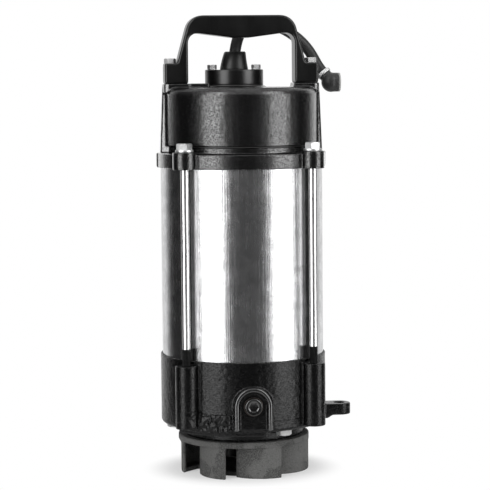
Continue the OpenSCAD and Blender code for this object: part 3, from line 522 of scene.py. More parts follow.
@dataclass(frozen=True)
class LeadFinish(Finish):
    """Rubber sheath of the lead: a fine weave of draw marks along the cord's own UV map."""

    def sockets(self, s: SurfaceSheet) -> dict[str, Any]:
        """Works out the draw marks, weave and dust of the sheath.

        Args:
            s: sheet of the material.

        Returns:
            Sockets of the Principled shader, by name.
        """
        uv = s.add("ShaderNodeUVMap", uv_map="along")
        draw = s.streaks((9.0, 700.0, 1.0), 2.0, 0.6, uv)
        weave = s.streaks((140.0, 30.0, 1.0), at=uv)
        dust = s.noise(0.0022, 3.0).step(0.5, 0.75)
        base = s.tones(draw * 0.5 + dust * 0.4, self.colour, 0.8, 2.2)
        rough = self.roughness + (weave - 0.5) * 0.2
        normal = s.bump(0.00005, draw * 0.6 + weave * 0.4)
        return dict(Base_Color=base, Roughness=rough, Normal=normal)


BLACK_PAINT = (0.0018, 0.0018, 0.0019)
STEEL = (0.72, 0.72, 0.73)

FINISH_LIST = (
    CastFinish(
        "cast_paint", BLACK_PAINT, 0.24, 1.25, peel=0.0017, peel_depth=0.0005, swell_depth=0.0004,
        pit_depth=0.0, wear_and_sheen=0.8, gloss=0.04, glint=0.16, seam_z=0.0585,
        rubbed_arch=(ARCH_Z, ARCH_RADIUS, 0.0027),
    ),
    CastFinish(
        "cover_paint", BLACK_PAINT, 0.2, 1.4, peel=0.0015, peel_depth=0.0004, swell_depth=0.0001,
        pit_depth=0.0, wear_and_sheen=0.25, gloss=0.2, glint=0.8, rubbed_x=0.0705,
    ),
    CastFinish(
        "gland_paint", BLACK_PAINT, 0.3, 1.6, peel=0.001, peel_depth=0.00005, swell_depth=0.0001,
        pit_depth=0.00005, wear_and_sheen=0.3, glint=0.0,
    ),
    CastFinish(
        "strainer_grey", (0.074, 0.074, 0.072), 0.75, 1.4, peel=0.0016, peel_depth=0.0006,
        pit=0.004, grit=0.55, wear_and_sheen=0.1, glint=0.0, lift=1.9, patch_full=0.57,
    ),
    CastFinish("impeller_iron", grey(0.2), 0.55, 1.5, 0.9, peel=0.0014, wear_and_sheen=0.1, glint=0.0),
    TubeFinish("brushed_tube", STEEL, 0.25),
    MetalFinish("stainless", STEEL, 0.28, 0.0004),
    MetalFinish("bolt_steel", grey(0.88), 0.45),
    MetalFinish("bright_steel", grey(0.92), 0.6),
    MetalFinish("bearing_steel", (0.68, 0.68, 0.7), 0.14, 0.00025),
    MetalFinish("rotor_aluminium", (0.7, 0.7, 0.71), 0.4, blotch=0.15),
    MetalFinish("brass", (0.7, 0.5, 0.22), 0.26, 0.0003),
    LayerFinish("copper", (0.5, 0.2, 0.08), 0.35, 0.0009, True, 0.9),
    LayerFinish("core_steel", (0.2, 0.21, 0.22), 0.45, 0.0006),
    MouldedFinish("rubber", grey(0.006), 0.4, 0.0006, 0.00005, 0.06),
    MouldedFinish("carbon", (0.03, 0.03, 0.032), 0.3, 0.0003, 0.00001, 0.05),
    MouldedFinish("insulation", (0.02, 0.02, 0.021), 0.45),
    MouldedFinish("wire_red", (0.4, 0.03, 0.02), 0.4),
    MouldedFinish("wire_blue", (0.03, 0.07, 0.3), 0.4),
    MouldedFinish("handle_plastic", grey(0.003), 0.3, 0.0004, 0.00003, 0.03, 0.1),
    MouldedFinish("connector_plastic", grey(0.03), 0.42),
    LeadFinish("lead_rubber", grey(0.014), 0.48),
    MetalFinish("tie_bolt_steel", grey(0.8), 0.32, dark_z=THREAD_TOP),
    MetalFinish("plug_steel", grey(0.12), 0.22),
    MetalFinish("washer_copper", (0.07, 0.06, 0.055), 0.35),
    MouldedFinish("rim_pale", (0.4, 0.4, 0.39), 0.4, dust=0.05, wear_and_sheen=0.0),
    MouldedFinish("lead_inner", grey(0.014), 0.48),
)
FINISHES = {finish.name: finish for finish in FINISH_LIST}


@cache
def paint(name: str) -> bpy.types.Material:
    """The material of that finish, made once."""
    return FINISHES[name].material()


# ---- Mesh helpers ----


def make_object(name: str, mesh: bpy.types.Mesh) -> bpy.types.Object:
    """Links a new object to the scene.

    Args:
        name: name of the object.
        mesh: its mesh.

    Returns:
        The object.
    """
    thing = bpy.data.objects.new(name, mesh)
    bpy.context.scene.collection.objects.link(thing)
    return thing


def from_bmesh(
    name: str, form: bmesh.types.BMesh, sharp_deg: float = 0.0, stand: Matrix | None = None
) -> bpy.types.Object:
    """Turns a bmesh into a smooth-shaded object.

    Args:
        name: name of the object.
        form: the bmesh, which is freed.
        sharp_deg: angle above which edges stay sharp, with every face turned outwards, or 0.
        stand: where the form stands.

    Returns:
        The object.
    """
    if stand is not None:
        form.transform(stand)
    if sharp_deg:
        bmesh.ops.recalc_face_normals(form, faces=form.faces)
    mesh = bpy.data.meshes.new(name)
    form.to_mesh(mesh)
    form.free()
    mesh.shade_smooth()
    if sharp_deg:
        mesh.set_sharp_from_angle(angle=radians(sharp_deg))
    return make_object(name, mesh)


def turns(steps: int) -> list[float]:
    """Angles of even steps round a circle."""
    return [FULL_TURN * i / steps for i in range(steps)]


def hexagon(half: float) -> Callable[[float], float]:
    """Radius at each angle of a hexagon that is `half` from its middle to its flats."""
    return lambda turn: half / cos((turn % (pi / 3)) - pi / 6)


def polar_row(steps: int, reach: Reach, height: float) -> list[Point]:
    """Ring of points round the z axis."""
    far = reach if callable(reach) else lambda turn: reach
    return [(far(t) * cos(t), far(t) * sin(t), height) for t in turns(steps)]


def skin(
    form: bmesh.types.BMesh, rows: Iterable[Sequence[Point]], solid: bool = True
) -> list[bmesh.types.BMFace]:
    """Joins rings of points by bands of faces.

    Args:
        form: the bmesh that they go into.
        rows: the rings, each with the same number of points.
        solid: True caps the first and last ring, False joins them to each other.

    Returns:
        The faces of the bands, ring by ring.
    """
    rings = [[form.verts.new(point) for point in ring] for ring in rows]
    if solid:
        form.faces.new(rings[0][::-1])
        form.faces.new(rings[-1])
    else:
        rings.append(rings[0])
    return [
        form.faces.new((low[i - 1], low[i], high[i], high[i - 1]))
        for low, high in zip(rings, rings[1:])
        for i in (*range(1, len(low)), 0)
    ]


def turned(
    name: str,
    rings: Iterable[tuple[Reach, float]],
    steps: int = 96,
    sharp_deg: float = 35.0,
    stand: Matrix | None = None,
    solid: bool = False,
) -> bpy.types.Object:
    """Turns an outline round the z axis.

    Args:
        name: name of the object.
        rings: radius, or radius at each angle, and height of the outline's points.
        steps: steps round the axis.
        sharp_deg: angle above which edges stay sharp.
        stand: where the piece stands.
        solid: True caps the first and last ring, False joins them to each other.

    Returns:
        The turned piece.
    """
    form = bmesh.new()
    skin(form, [polar_row(steps, *ring) for ring in rings], solid)
    return from_bmesh(name, form, sharp_deg, stand)


def collar(bore: float, outer: float, length: float, edge: float) -> Outline:
    """Outline of a ring that stands on z = 0.

    Args:
        bore: its inner radius.
        outer: its outer radius.
        length: its height.
        edge: rounding of its edges; a short side gets less.

    Returns:
        Radius and height of the outline's points.
    """
    corners = [Vector(p) for p in ((bore, 0.0), (outer, 0.0), (outer, length), (bore, length))]
    outline: Outline = []
    for i, corner in enumerate(corners):
        back, ahead = corners[i - 1] - corner, corners[(i + 1) % 4] - corner
        trim = min(edge, back.length * 0.45, ahead.length * 0.45)
        start, end = corner + back.normalized() * trim, corner + ahead.normalized() * trim
        for t in (0.0, 1 / 3, 2 / 3, 1.0):
            outline.append(tuple(start * (1 - t) ** 2 + corner * 2 * t * (1 - t) + end * t * t))
    return outline


def apply_modifiers(thing: bpy.types.Object) -> None:
    """Puts an object's modifiers into its mesh.

    Args:
        thing: the object.
    """
    graph = bpy.context.evaluated_depsgraph_get()
    graph.update()
    mesh = bpy.data.meshes.new_from_object(thing.evaluated_get(graph), depsgraph=graph)
    thing.modifiers.clear()
    thing.data = mesh


@dataclass(frozen=True)
class Round:
    """A cylinder surface that a casting keeps true: radius, centre and axis."""

    radius: float
    centre: tuple[float, float]
    axis: int = 2


@dataclass(frozen=True)
class Flat:
    """A plane that a casting keeps true: axis and offset."""

    axis: int
    offset: float


def rounds(*radii: float, centre: tuple[float, float] = (0.0, 0.0), axis: int = 2) -> list[Round]:
    """Cylinders round one line."""
    return [Round(radius, centre, axis) for radius in radii]


def flats(axis: int, *offsets: float) -> list[Flat]:
    """Planes across one axis."""
    return [Flat(axis, offset) for offset in offsets]


def four_lugs(circle: float, radius: float) -> list[Round]:
    """Round walls of the four lugs or bosses of the tie bolts."""
    reach = circle / sqrt(2)
    return [Round(radius, (x, y)) for x in (-reach, reach) for y in (-reach, reach)]


def lump(spot: Point, size: float) -> float:
    """Smooth noise from -1 to 1, with lumps of that size."""
    return noise.noise(Vector(spot) / size)


def sunk(spot: Point, depth: float) -> Point:
    """A point moved towards the z axis."""
    left = 1 - depth / hypot(*spot[:2])
    return (spot[0] * left, spot[1] * left, spot[2])


def true_up(mesh: bpy.types.Mesh, surfaces: Iterable[Round | Flat], reach: float) -> None:
    """Moves points that are close to a known surface onto it.

    Args:
        mesh: the mesh to change.
        surfaces: cylinders and planes of the casting.
        reach: distance within which points are moved fully.
    """
    spots, ways = np.empty((2, len(mesh.vertices) * 3))
    mesh.vertices.foreach_get("co", spots)
    mesh.vertex_normals.foreach_get("vector", ways)
    spots, ways = spots.reshape(-1, 3), ways.reshape(-1, 3)
    for surface in surfaces:
        way = np.zeros_like(spots)
        if isinstance(surface, Flat):
            off = spots[:, surface.axis] - surface.offset
            way[:, surface.axis] = 1.0
        else:
            flat = [a for a in range(3) if a != surface.axis]
            arm = spots[:, flat] - np.array(surface.centre)
            length = np.maximum(np.linalg.norm(arm, axis=1), 1e-9)
            off = length - surface.radius
            way[:, flat] = arm / length[:, None]
        facing = np.abs((ways * way).sum(axis=1))
        weight = np.clip((facing - 0.93) / 0.05, 0, 1) * np.clip(2 - np.abs(off) / reach, 0, 1)
        spots -= way * (off * weight)[:, None]
    mesh.vertices.foreach_set("co", spots.reshape(-1))
    mesh.update()


def fit_out(
    piece: bpy.types.Object, finish: str, slot: str, *nodes: str, body: Body = Body.ROOT
) -> bpy.types.Object:
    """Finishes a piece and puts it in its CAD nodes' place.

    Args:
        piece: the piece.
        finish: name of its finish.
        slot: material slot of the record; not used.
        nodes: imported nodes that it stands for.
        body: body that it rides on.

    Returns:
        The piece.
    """
    piece.data.materials.clear()
    piece.data.materials.append(paint(finish))
    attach(piece, body.value)
    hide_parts(*nodes)
    size = 1000 * np.ptp(np.array([tuple(corner) for corner in piece.bound_box]), axis=0)
    log.info("%s: %.1f x %.1f x %.1f mm", piece.name, *size)
    return piece


def casting(
    name: str,
    node: str,
    finish: str,
    slot: str,
    voxel: float,
    passes: int,
    surfaces: Iterable[Round | Flat] = (),
    most: int = 180000,
    shape: Callable[[Point], Point] | None = None,
    body: Body = Body.ROOT,
) -> bpy.types.Object:
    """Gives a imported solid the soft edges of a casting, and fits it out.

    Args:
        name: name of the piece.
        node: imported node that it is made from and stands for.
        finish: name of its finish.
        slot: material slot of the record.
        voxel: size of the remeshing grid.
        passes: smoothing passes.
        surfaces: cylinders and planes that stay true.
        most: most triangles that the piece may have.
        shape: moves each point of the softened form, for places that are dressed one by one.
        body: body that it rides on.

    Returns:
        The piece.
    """
    form = bmesh.new()
    form.from_mesh(frame["nodes"][node].data)
    bmesh.ops.remove_doubles(form, verts=form.verts, dist=2e-6)
    piece = from_bmesh(name, form)
    remesh = piece.modifiers.new("grid", "REMESH")
    remesh.mode = "VOXEL"
    remesh.voxel_size = voxel
    remesh.use_smooth_shade = True
    soften = piece.modifiers.new("soften", "SMOOTH")
    soften.factor = 0.5
    soften.iterations = passes
    apply_modifiers(piece)
    true_up(piece.data, surfaces, voxel * 0.35)
    if shape is not None:
        for vert in piece.data.vertices:
            vert.co = shape(tuple(vert.co))
    faces = sum(len(p.vertices) - 2 for p in piece.data.polygons)
    if faces > most:
        piece.modifiers.new("thin", "DECIMATE").ratio = most / faces
        apply_modifiers(piece)
    piece.data.shade_smooth()
    log.info("%s: %d triangles from the grid, %d kept", name, faces, min(faces, most))
    return fit_out(piece, finish, slot, node, body=body)


class CircleOfPieces:
    """Geometry Nodes tree that sets copies of one piece evenly round a circle."""

    def __init__(self) -> None:
        """Builds the tree with its named inputs."""
        self.tree = bpy.data.node_groups.new("circle_of_pieces", "GeometryNodeTree")
        face = self.tree.interface
        kinds = {
            "Piece": "NodeSocketObject",
            "Count": "NodeSocketInt",
            "Radius": "NodeSocketFloat",
            "First angle": "NodeSocketFloat",
            "Centre": "NodeSocketVector",
            "Finish": "NodeSocketMaterial",
        }
        self.keys = {
            label: face.new_socket(label, in_out="INPUT", socket_type=kind).identifier
            for label, kind in kinds.items()
        }
        face.new_socket("Geometry", in_out="OUTPUT", socket_type="NodeSocketGeometry")
        s = NodeSheet(self.tree)
        entry = self.tree.nodes.new("NodeGroupInput")
        given = {label: Signal(s, entry.outputs[label]) for label in kinds}
        share = s.add("GeometryNodeInputIndex") / given["Count"]
        turn = share * FULL_TURN + given["First angle"]
        arm = {0: turn.cosine() * given["Radius"], 1: turn.wave() * given["Radius"]}
        pair = {0: s.add("ShaderNodeCombineXYZ", arm), 1: given["Centre"]}
        spot = s.add("ShaderNodeVectorMath", pair, operation="ADD")
        points = s.add("GeometryNodePoints", {"Count": given["Count"], "Position": spot})
        source = {"Object": given["Piece"]}
        stored = s.add("GeometryNodeObjectInfo", source, "Geometry", transform_space="ORIGINAL")
        facing = s.add("ShaderNodeCombineXYZ", {2: turn})
        places = {"Points": points, "Instance": stored, "Rotation": facing}
        copies = s.add("GeometryNodeInstanceOnPoints", places)
        solid = s.add("GeometryNodeRealizeInstances", {"Geometry": copies})
        dressing = {"Geometry": solid, "Material": given["Finish"]}
        dressed = s.add("GeometryNodeSetMaterial", dressing)
        s.add("NodeGroupOutput", {"Geometry": dressed})

    def lay_out(
        self,
        name: str,
        node: str,
        piece: bpy.types.Object,
        stand: Matrix,
        count: int,
        radius: float,
        first_deg: float = 0.0,
        finish: str = "bolt_steel",
        centre: Point = (0.0, 0.0, 0.0),
    ) -> None:
        """Sets out copies of a fastener as one mesh, fits it out and removes the first.

        Args:
            name: name of the result.
            node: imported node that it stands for.
            piece: fastener to repeat, made about the z axis.
            stand: where it stands on that axis.
            count: number of copies.
            radius: radius of the circle.
            first_deg: angle of the first copy.
            finish: name of the finish.
            centre: middle of the circle.
        """
        piece.data.transform(stand)
        host = make_object(name, bpy.data.meshes.new(name))
        modifier = host.modifiers.new("circle", "NODES")
        modifier.node_group = self.tree
        values = (piece, count, radius, radians(first_deg), centre, paint(finish))
        for key, value in zip(self.keys.values(), values):
            modifier[key] = value
        apply_modifiers(host)
        bpy.data.objects.remove(piece)
        fit_out(host, finish, "bolt_steel", node)


CIRCLE = CircleOfPieces()


# ---- Fasteners ----

M8 = (0.013, 0.0058, 0.008)  # width across flats, height of the head, shank
M6 = (0.010, 0.0048, 0.006)
M5 = (0.008, 0.0048, 0.005)


@dataclass(frozen=True)
class HexBolt:
    """Hexagon bolt standing on its head's seat, with a chamfered head.

    Args:
        flats: width across the head's flats.
        head: height of the head.
        shank: diameter of the shank.
        length: length below the seat.
        thread: length of the rolled thread at the end.
        pitch: pitch of the thread.
        flange: radius of a washer face under the head, or 0.
    """

    flats: float
    head: float
    shank: float
    length: float
    thread: float
    pitch: float = 0.00125
    flange: float = 0.0

    def head_rings(self) -> list[tuple[Reach, float]]:
        """Sets out the head, with its washer face where it has one.

        Returns:
            Radius and height of its rings, from the seat up.
        """
        hexed = hexagon(self.flats / 2)
        face = self.flats / 2 * 0.96
        slope = tan(radians(30))
        low = 0.0012 if self.flange else 0.0
        drop = (self.flats / sqrt(3) - face) * slope
        rim = ((0.98, 0.0), (1.0, 0.0002), (1.0, low - 0.0003), (0.97, low))
        rings = [(self.flange * share, height) for share, height in rim] if self.flange else []
        for height in (low, *(self.head - drop * (1 - k / 5) for k in range(6))):
            cone = face + (self.head - height) / slope
            rings.append((lambda turn, cone=cone: min(hexed(turn), cone), height))
        return rings + [(face * share, self.head) for share in (0.75, 0.5, 0.25)]

    def thread_ring(self, height: float) -> tuple[Reach, float]:
        """Sets out one ring of the thread, whose flanks climb with the angle.

        Args:
            height: height of the ring.

        Returns:
            Radius at each angle, and height.
        """

        def reach(turn: float) -> float:
            """Radius at an angle."""
            phase = (height / self.pitch - turn / FULL_TURN) % 1.0
            return self.shank / 2 - 0.61 * self.pitch * abs(2 * phase - 1)

        return (reach, height)

    def build(self, name: str) -> bpy.types.Object:
        """Builds the bolt, its seat at z = 0 and its head above.

        Args:
            name: name of the bolt.

        Returns:
            The bolt.
        """
        end, radius, chamfer = -self.length, self.shank / 2, 0.0004
        count = int(self.thread / self.pitch * 6)
        climb = self.thread - chamfer
        rings = [
            (radius / 2, end),
            *(self.thread_ring(end + chamfer + climb * k / count) for k in range(count + 1)),
            (radius, end + self.thread + chamfer),
            (radius, 0.0),
            *self.head_rings(),
        ]
        return turned(name, rings, 48, 28.0, solid=True)


# ---- Studio ----


@dataclass
class Studio:
    """Camera, lamps, pale floor and white background.

    Args:
        camera_place: place of the camera.
        yaw_deg: turn of its view from +Y.
        pitch_deg: how far it looks down.
        roll_deg: its roll.
        lens: focal length in millimetres on a 36 mm sensor.
        lamp_reach: distance of the lamps from the pump's axis.
        lamp_height: height of their middles.
        lamp_size: their width and height.
    """

    camera_place: Point = (-0.2206, -1.9009, 0.387)
    yaw_deg: float = -6.706
    pitch_deg: float = 5.03
    roll_deg: float = -0.5
    lens: float = 145.48
    lamp_reach: float = 1.1
    lamp_height: float = 0.6
    lamp_size: tuple[float, float] = (0.6, 2.2)

    def camera(self) -> None:
        """Makes the camera."""
        yaw, pitch, roll = (radians(v) for v in (self.yaw_deg, self.pitch_deg, self.roll_deg))
        facing = Matrix.Rotation(yaw, 4, "Z") @ Matrix.Rotation(pi / 2 - pitch, 4, "X")
        lens = bpy.data.cameras.new("camera")
        lens.lens = self.lens
        lens.sensor_width = 36.0
        lens.clip_start, lens.clip_end = 0.05, 30.0
        camera = bpy.data.objects.new("camera", lens)
        facing = facing @ Matrix.Rotation(roll, 4, "Z")
        camera.matrix_world = Matrix.Translation(self.camera_place) @ facing
        bpy.context.scene.collection.objects.link(camera)
        bpy.context.scene.camera = camera

    def lamp(self, name: str, bearing_deg: float, radiance: float) -> None:
        """Hangs one soft box round the pump.

        Args:
            name: name of the lamp.
            bearing_deg: its bearing from the pump, from the camera's towards the right.
            radiance: how bright its face is.
        """
        turn = atan2(self.camera_place[1], self.camera_place[0]) + radians(bearing_deg)
        reach, (wide, high) = self.lamp_reach, self.lamp_size
        place = Vector((reach * cos(turn), reach * sin(turn), self.lamp_height))
        data = bpy.data.lights.new(name, "AREA")
        data.shape = "RECTANGLE"
        data.size, data.size_y = wide, high
        data.energy = radiance * pi * wide * high
        lamp = bpy.data.objects.new(name, data)
        facing = (Vector((0.0, 0.0, self.lamp_height)) - place).to_track_quat("-Z", "Y")
        lamp.matrix_world = Matrix.Translation(place) @ facing.to_matrix().to_4x4()
        lamp.visible_camera = False
        bpy.context.scene.collection.objects.link(lamp)

    def world(self) -> None:
        """White background, with dark sides of the room in reflections."""
        world = bpy.data.worlds.new("studio")
        world.use_nodes = True
        s = NodeSheet(world.node_tree)
        way = s.add("ShaderNodeTexCoord", output="Generated")
        home = Vector((*self.camera_place[:2], 0.0)).normalized()
        pair = {0: way, 1: home}
        bearing = s.add("ShaderNodeVectorMath", pair, "Value", operation="DOT_PRODUCT")
        front = bearing.step(0.1, 0.75, 0.015, 0.062)
        height = s.add("ShaderNodeSeparateXYZ", {0: way}, 2)
        room = front + bearing.fall(-0.76, -0.6) * 0.95 + height.step(0.45, 0.85) * 0.7
        ambient = 0.42
        seen, glossy = self.rays(s)
        strength = seen + (1 - seen) * (glossy * room + (1 - glossy) * ambient)
        glow = s.add("ShaderNodeBackground", {"Color": WHITE, "Strength": strength})
        s.add("ShaderNodeOutputWorld", {"Surface": glow})
        bpy.context.scene.world = world

    @staticmethod
    def rays(sheet: NodeSheet) -> list[Signal]:
        """Adds one Light Path node.

        Args:
            sheet: sheet that it goes on.

        Returns:
            Its camera and glossy outputs.
        """
        node = sheet.tree.nodes.new("ShaderNodeLightPath")
        labels = ("Is Camera Ray", "Is Glossy Ray")
        return [Signal(sheet, node.outputs[label]) for label in labels]

    def floor(self) -> None:
        """Pale floor that keeps the shadow and fades into the white background."""
        form = bmesh.new()
        bmesh.ops.create_grid(form, x_segments=8, y_segments=8, size=4.0)
        floor = from_bmesh("floor", form)
        s = SurfaceSheet("floor")
        reach = s.add("ShaderNodeVectorMath", {0: s.place}, "Value", operation="LENGTH")
        seen, glossy = self.rays(s)
        grain = s.noise(0.002, 2.0) * 0.02
        matt = s.add("ShaderNodeBsdfDiffuse", {"Color": s.tones(grain, (1.0, 1.0, 1.0), 0.9, 0.8)})
        white = s.add("ShaderNodeEmission", {"Color": WHITE, "Strength": 1.0})
        clear = s.add("ShaderNodeBsdfTransparent", {"Color": WHITE})
        fade = reach.step(0.062, 0.1, 0.4, 1.0) * seen
        look = s.add("ShaderNodeMixShader", {0: fade, 1: matt, 2: white})
        far = reach.step(0.16, 0.4) * glossy
        look = s.add("ShaderNodeMixShader", {0: far, 1: look, 2: clear})
        s.add("ShaderNodeOutputMaterial", {"Surface": look})
        floor.data.materials.append(s.material)

    def build(self) -> None:
        """Makes the whole studio, camera first."""
        self.camera()
        self.world()
        self.lamp("left_box", -42.0, 3.9)
        self.lamp("right_box", 58.5, 3.8)
        self.floor()
        bpy.context.scene.view_settings.view_transform = "Standard"


# ---- Lead ----


@dataclass
class FreeLead:
    """Lead from the boot over the cover's edge to its elbow connector."""

    route: tuple[Point, ...] = (
        (-0.004, 0.02, 0.39),
        (-0.004, 0.02, 0.397),
        (-0.0025, 0.022, 0.4085),
        (0.0015, 0.0285, 0.4215),
        (0.01, 0.0405, 0.433),
        (0.023, 0.0565, 0.4375),
        (0.0395, 0.0705, 0.4325),
        (0.048, 0.075, 0.43),
        (0.053, 0.077, 0.428),
        (0.057, 0.0785, 0.426),
        (0.063, 0.0805, 0.4225),
        (0.072, 0.082, 0.4155),
        (0.081, 0.0815, 0.4045),
        (0.087, 0.0785, 0.3915),
        (0.092, 0.076, 0.385),
    )
    diameter: float = 0.011
    boot_top_z: float = 0.4057
    nut_length: float = 0.0035
    nut_radius: float = 0.0075
    elbow_drop: float = 0.01
    barrel_radius: float = 0.0095
    barrel_length: float = 0.007
    rim_thick: float = 0.0018
    socket_radius: float = 0.0076

    def line(self, steps: int = 10) -> list[Vector]:
        """Follows the route by a cubic B-spline.

        Args:
            steps: points for each span of the route.

        Returns:
            The points.
        """
        points = [Vector(p) for p in self.route]
        points = [2 * points[0] - points[1], *points, 2 * points[-1] - points[-2]]
        spots = []
        for i in range(len(points) - 3):
            for k in range(steps):
                t = k / steps
                weights = (
                    (1 - t) ** 3,
                    3 * t**3 - 6 * t**2 + 4,
                    -3 * t**3 + 3 * t**2 + 3 * t + 1,
                    t**3,
                )
                near = zip(weights, points[i : i + 4])
                spots.append(sum((w / 6 * point for w, point in near), Vector((0, 0, 0))))
        spots.append(Vector(self.route[-1]))
        return spots

    def end_way(self) -> Vector:
        """Direction of the lead at its connector."""
        return (Vector(self.route[-1]) - Vector(self.route[-2])).normalized()

    def sheath(self) -> tuple[bpy.types.Object, list[Vector]]:
        """Sweeps the sheath along its line, with a UV map that runs along it.

        Returns:
            The sheath and the points of its line.
        """
        spots = self.line()
        steps = 32
        form = bmesh.new()
        layer = form.loops.layers.uv.new("along")
        way = Vector((0, 0, 1))
        side = Vector((1, 0, 0))
        rows, runs = [], [0.0]
        for i, spot in enumerate(spots):
            if i:
                runs.append(runs[-1] + (spot - spots[i - 1]).length)
            if 0 < i < len(spots) - 1:
                fresh = (spots[i + 1] - spots[i - 1]).normalized()
            else:
                fresh = self.end_way() if i else way
            side = (side - fresh * side.dot(fresh)).normalized()
            over = fresh.cross(side)
            arms = [side * cos(turn) + over * sin(turn) for turn in turns(steps)]
            rows.append([spot + arm * self.diameter / 2 for arm in arms])
        for count, face in enumerate(skin(form, rows)):
            i, k = divmod(count, steps)
            corners = ((k, i), (k + 1, i), (k + 1, i + 1), (k, i + 1))
            for loop, (turn, run) in zip(face.loops, corners):
                loop[layer].uv = (turn / steps, runs[run])
        return from_bmesh("lead_sheath", form, 60.0), spots

    def nut(self) -> bpy.types.Object:
        """Makes the knurled nut that clamps the sheath.

        Returns:
            The nut.
        """
        edge, flutes = 0.0006, 28

        def knurled(radius: float) -> Reach:
            """Puts the flutes into the outer wall.

            Args:
                radius: radius of a point of the outline.

            Returns:
                The radius, or the fluted radius at each angle.
            """
            if radius <= self.nut_radius - edge * 1.01:
                return radius
            return lambda turn: radius - 0.00012 * (1 + cos(flutes * turn))

        outline = collar(0.0056, self.nut_radius, self.nut_length, edge)
        facing = self.end_way().to_track_quat("Z", "Y").to_matrix().to_4x4()
        stand = Matrix.Translation(self.route[-1]) @ facing
        rings = [(knurled(radius), height) for radius, height in outline]
        return turned("lead_nut", rings, flutes * 6, 50.0, stand)

    def rim(self) -> bpy.types.Object:
        """Makes the pale ring round the mouth of the connector.

        Returns:
            The ring.
        """
        end = Vector(self.route[-1]) + self.end_way() * (self.nut_length + self.elbow_drop)
        mouth = Matrix.Translation(end + Vector((self.barrel_length, 0, 0)))
        outline = collar(self.socket_radius, self.barrel_radius, self.rim_thick, 0.0005)
        stand = mouth @ Matrix.Rotation(pi / 2, 4, "Y")
        return turned("connector_ring", outline, stand=stand)

    def build(self) -> None:
        """Makes the lead and the pieces on it."""
        sheath, spots = self.sheath()
        fit_out(sheath, "lead_rubber", "lead_rubber", "lead")
        nut = fit_out(self.nut(), "bolt_steel", "bolt_steel", "connector_nut")
        rim = fit_out(self.rim(), "rim_pale", "bolt_steel", "connector_rim")
        shell = casting(
            "connector_shell", "connector_body", "connector_plastic", "connector_plastic",
            voxel=0.00045, passes=4,
        )


# ---- Foot and casing ----


@dataclass
class StrainerFoot:
    """Grey strainer with its blades, and the suction plate above it."""

    height: float = 0.036
    ring_low: float = 0.030
    ring_radius: float = 0.0635
    neck_radius: float = 0.058
    neck_top: float = 0.048
    flange_top: float = 0.053
    flange_radius: float = 0.0739
    eye_radius: float = 0.027

    def build(self) -> None:
        """Makes the strainer and the suction plate."""
        surfaces = rounds(self.ring_radius) + flats(2, 0.0, self.height, self.ring_low)
        casting(
            "strainer_casting", "strainer", "strainer_grey", "strainer_grey",
            voxel=0.0008, passes=9, surfaces=surfaces,
        )
        surfaces = rounds(self.neck_radius, self.flange_radius, self.eye_radius)
        surfaces += flats(2, self.height, self.neck_top, self.flange_top)
        casting(
            "suction_casting", "suction_plate", "cast_paint", "cast_paint",
            voxel=0.0009, passes=4, surfaces=surfaces, most=120000,
        )


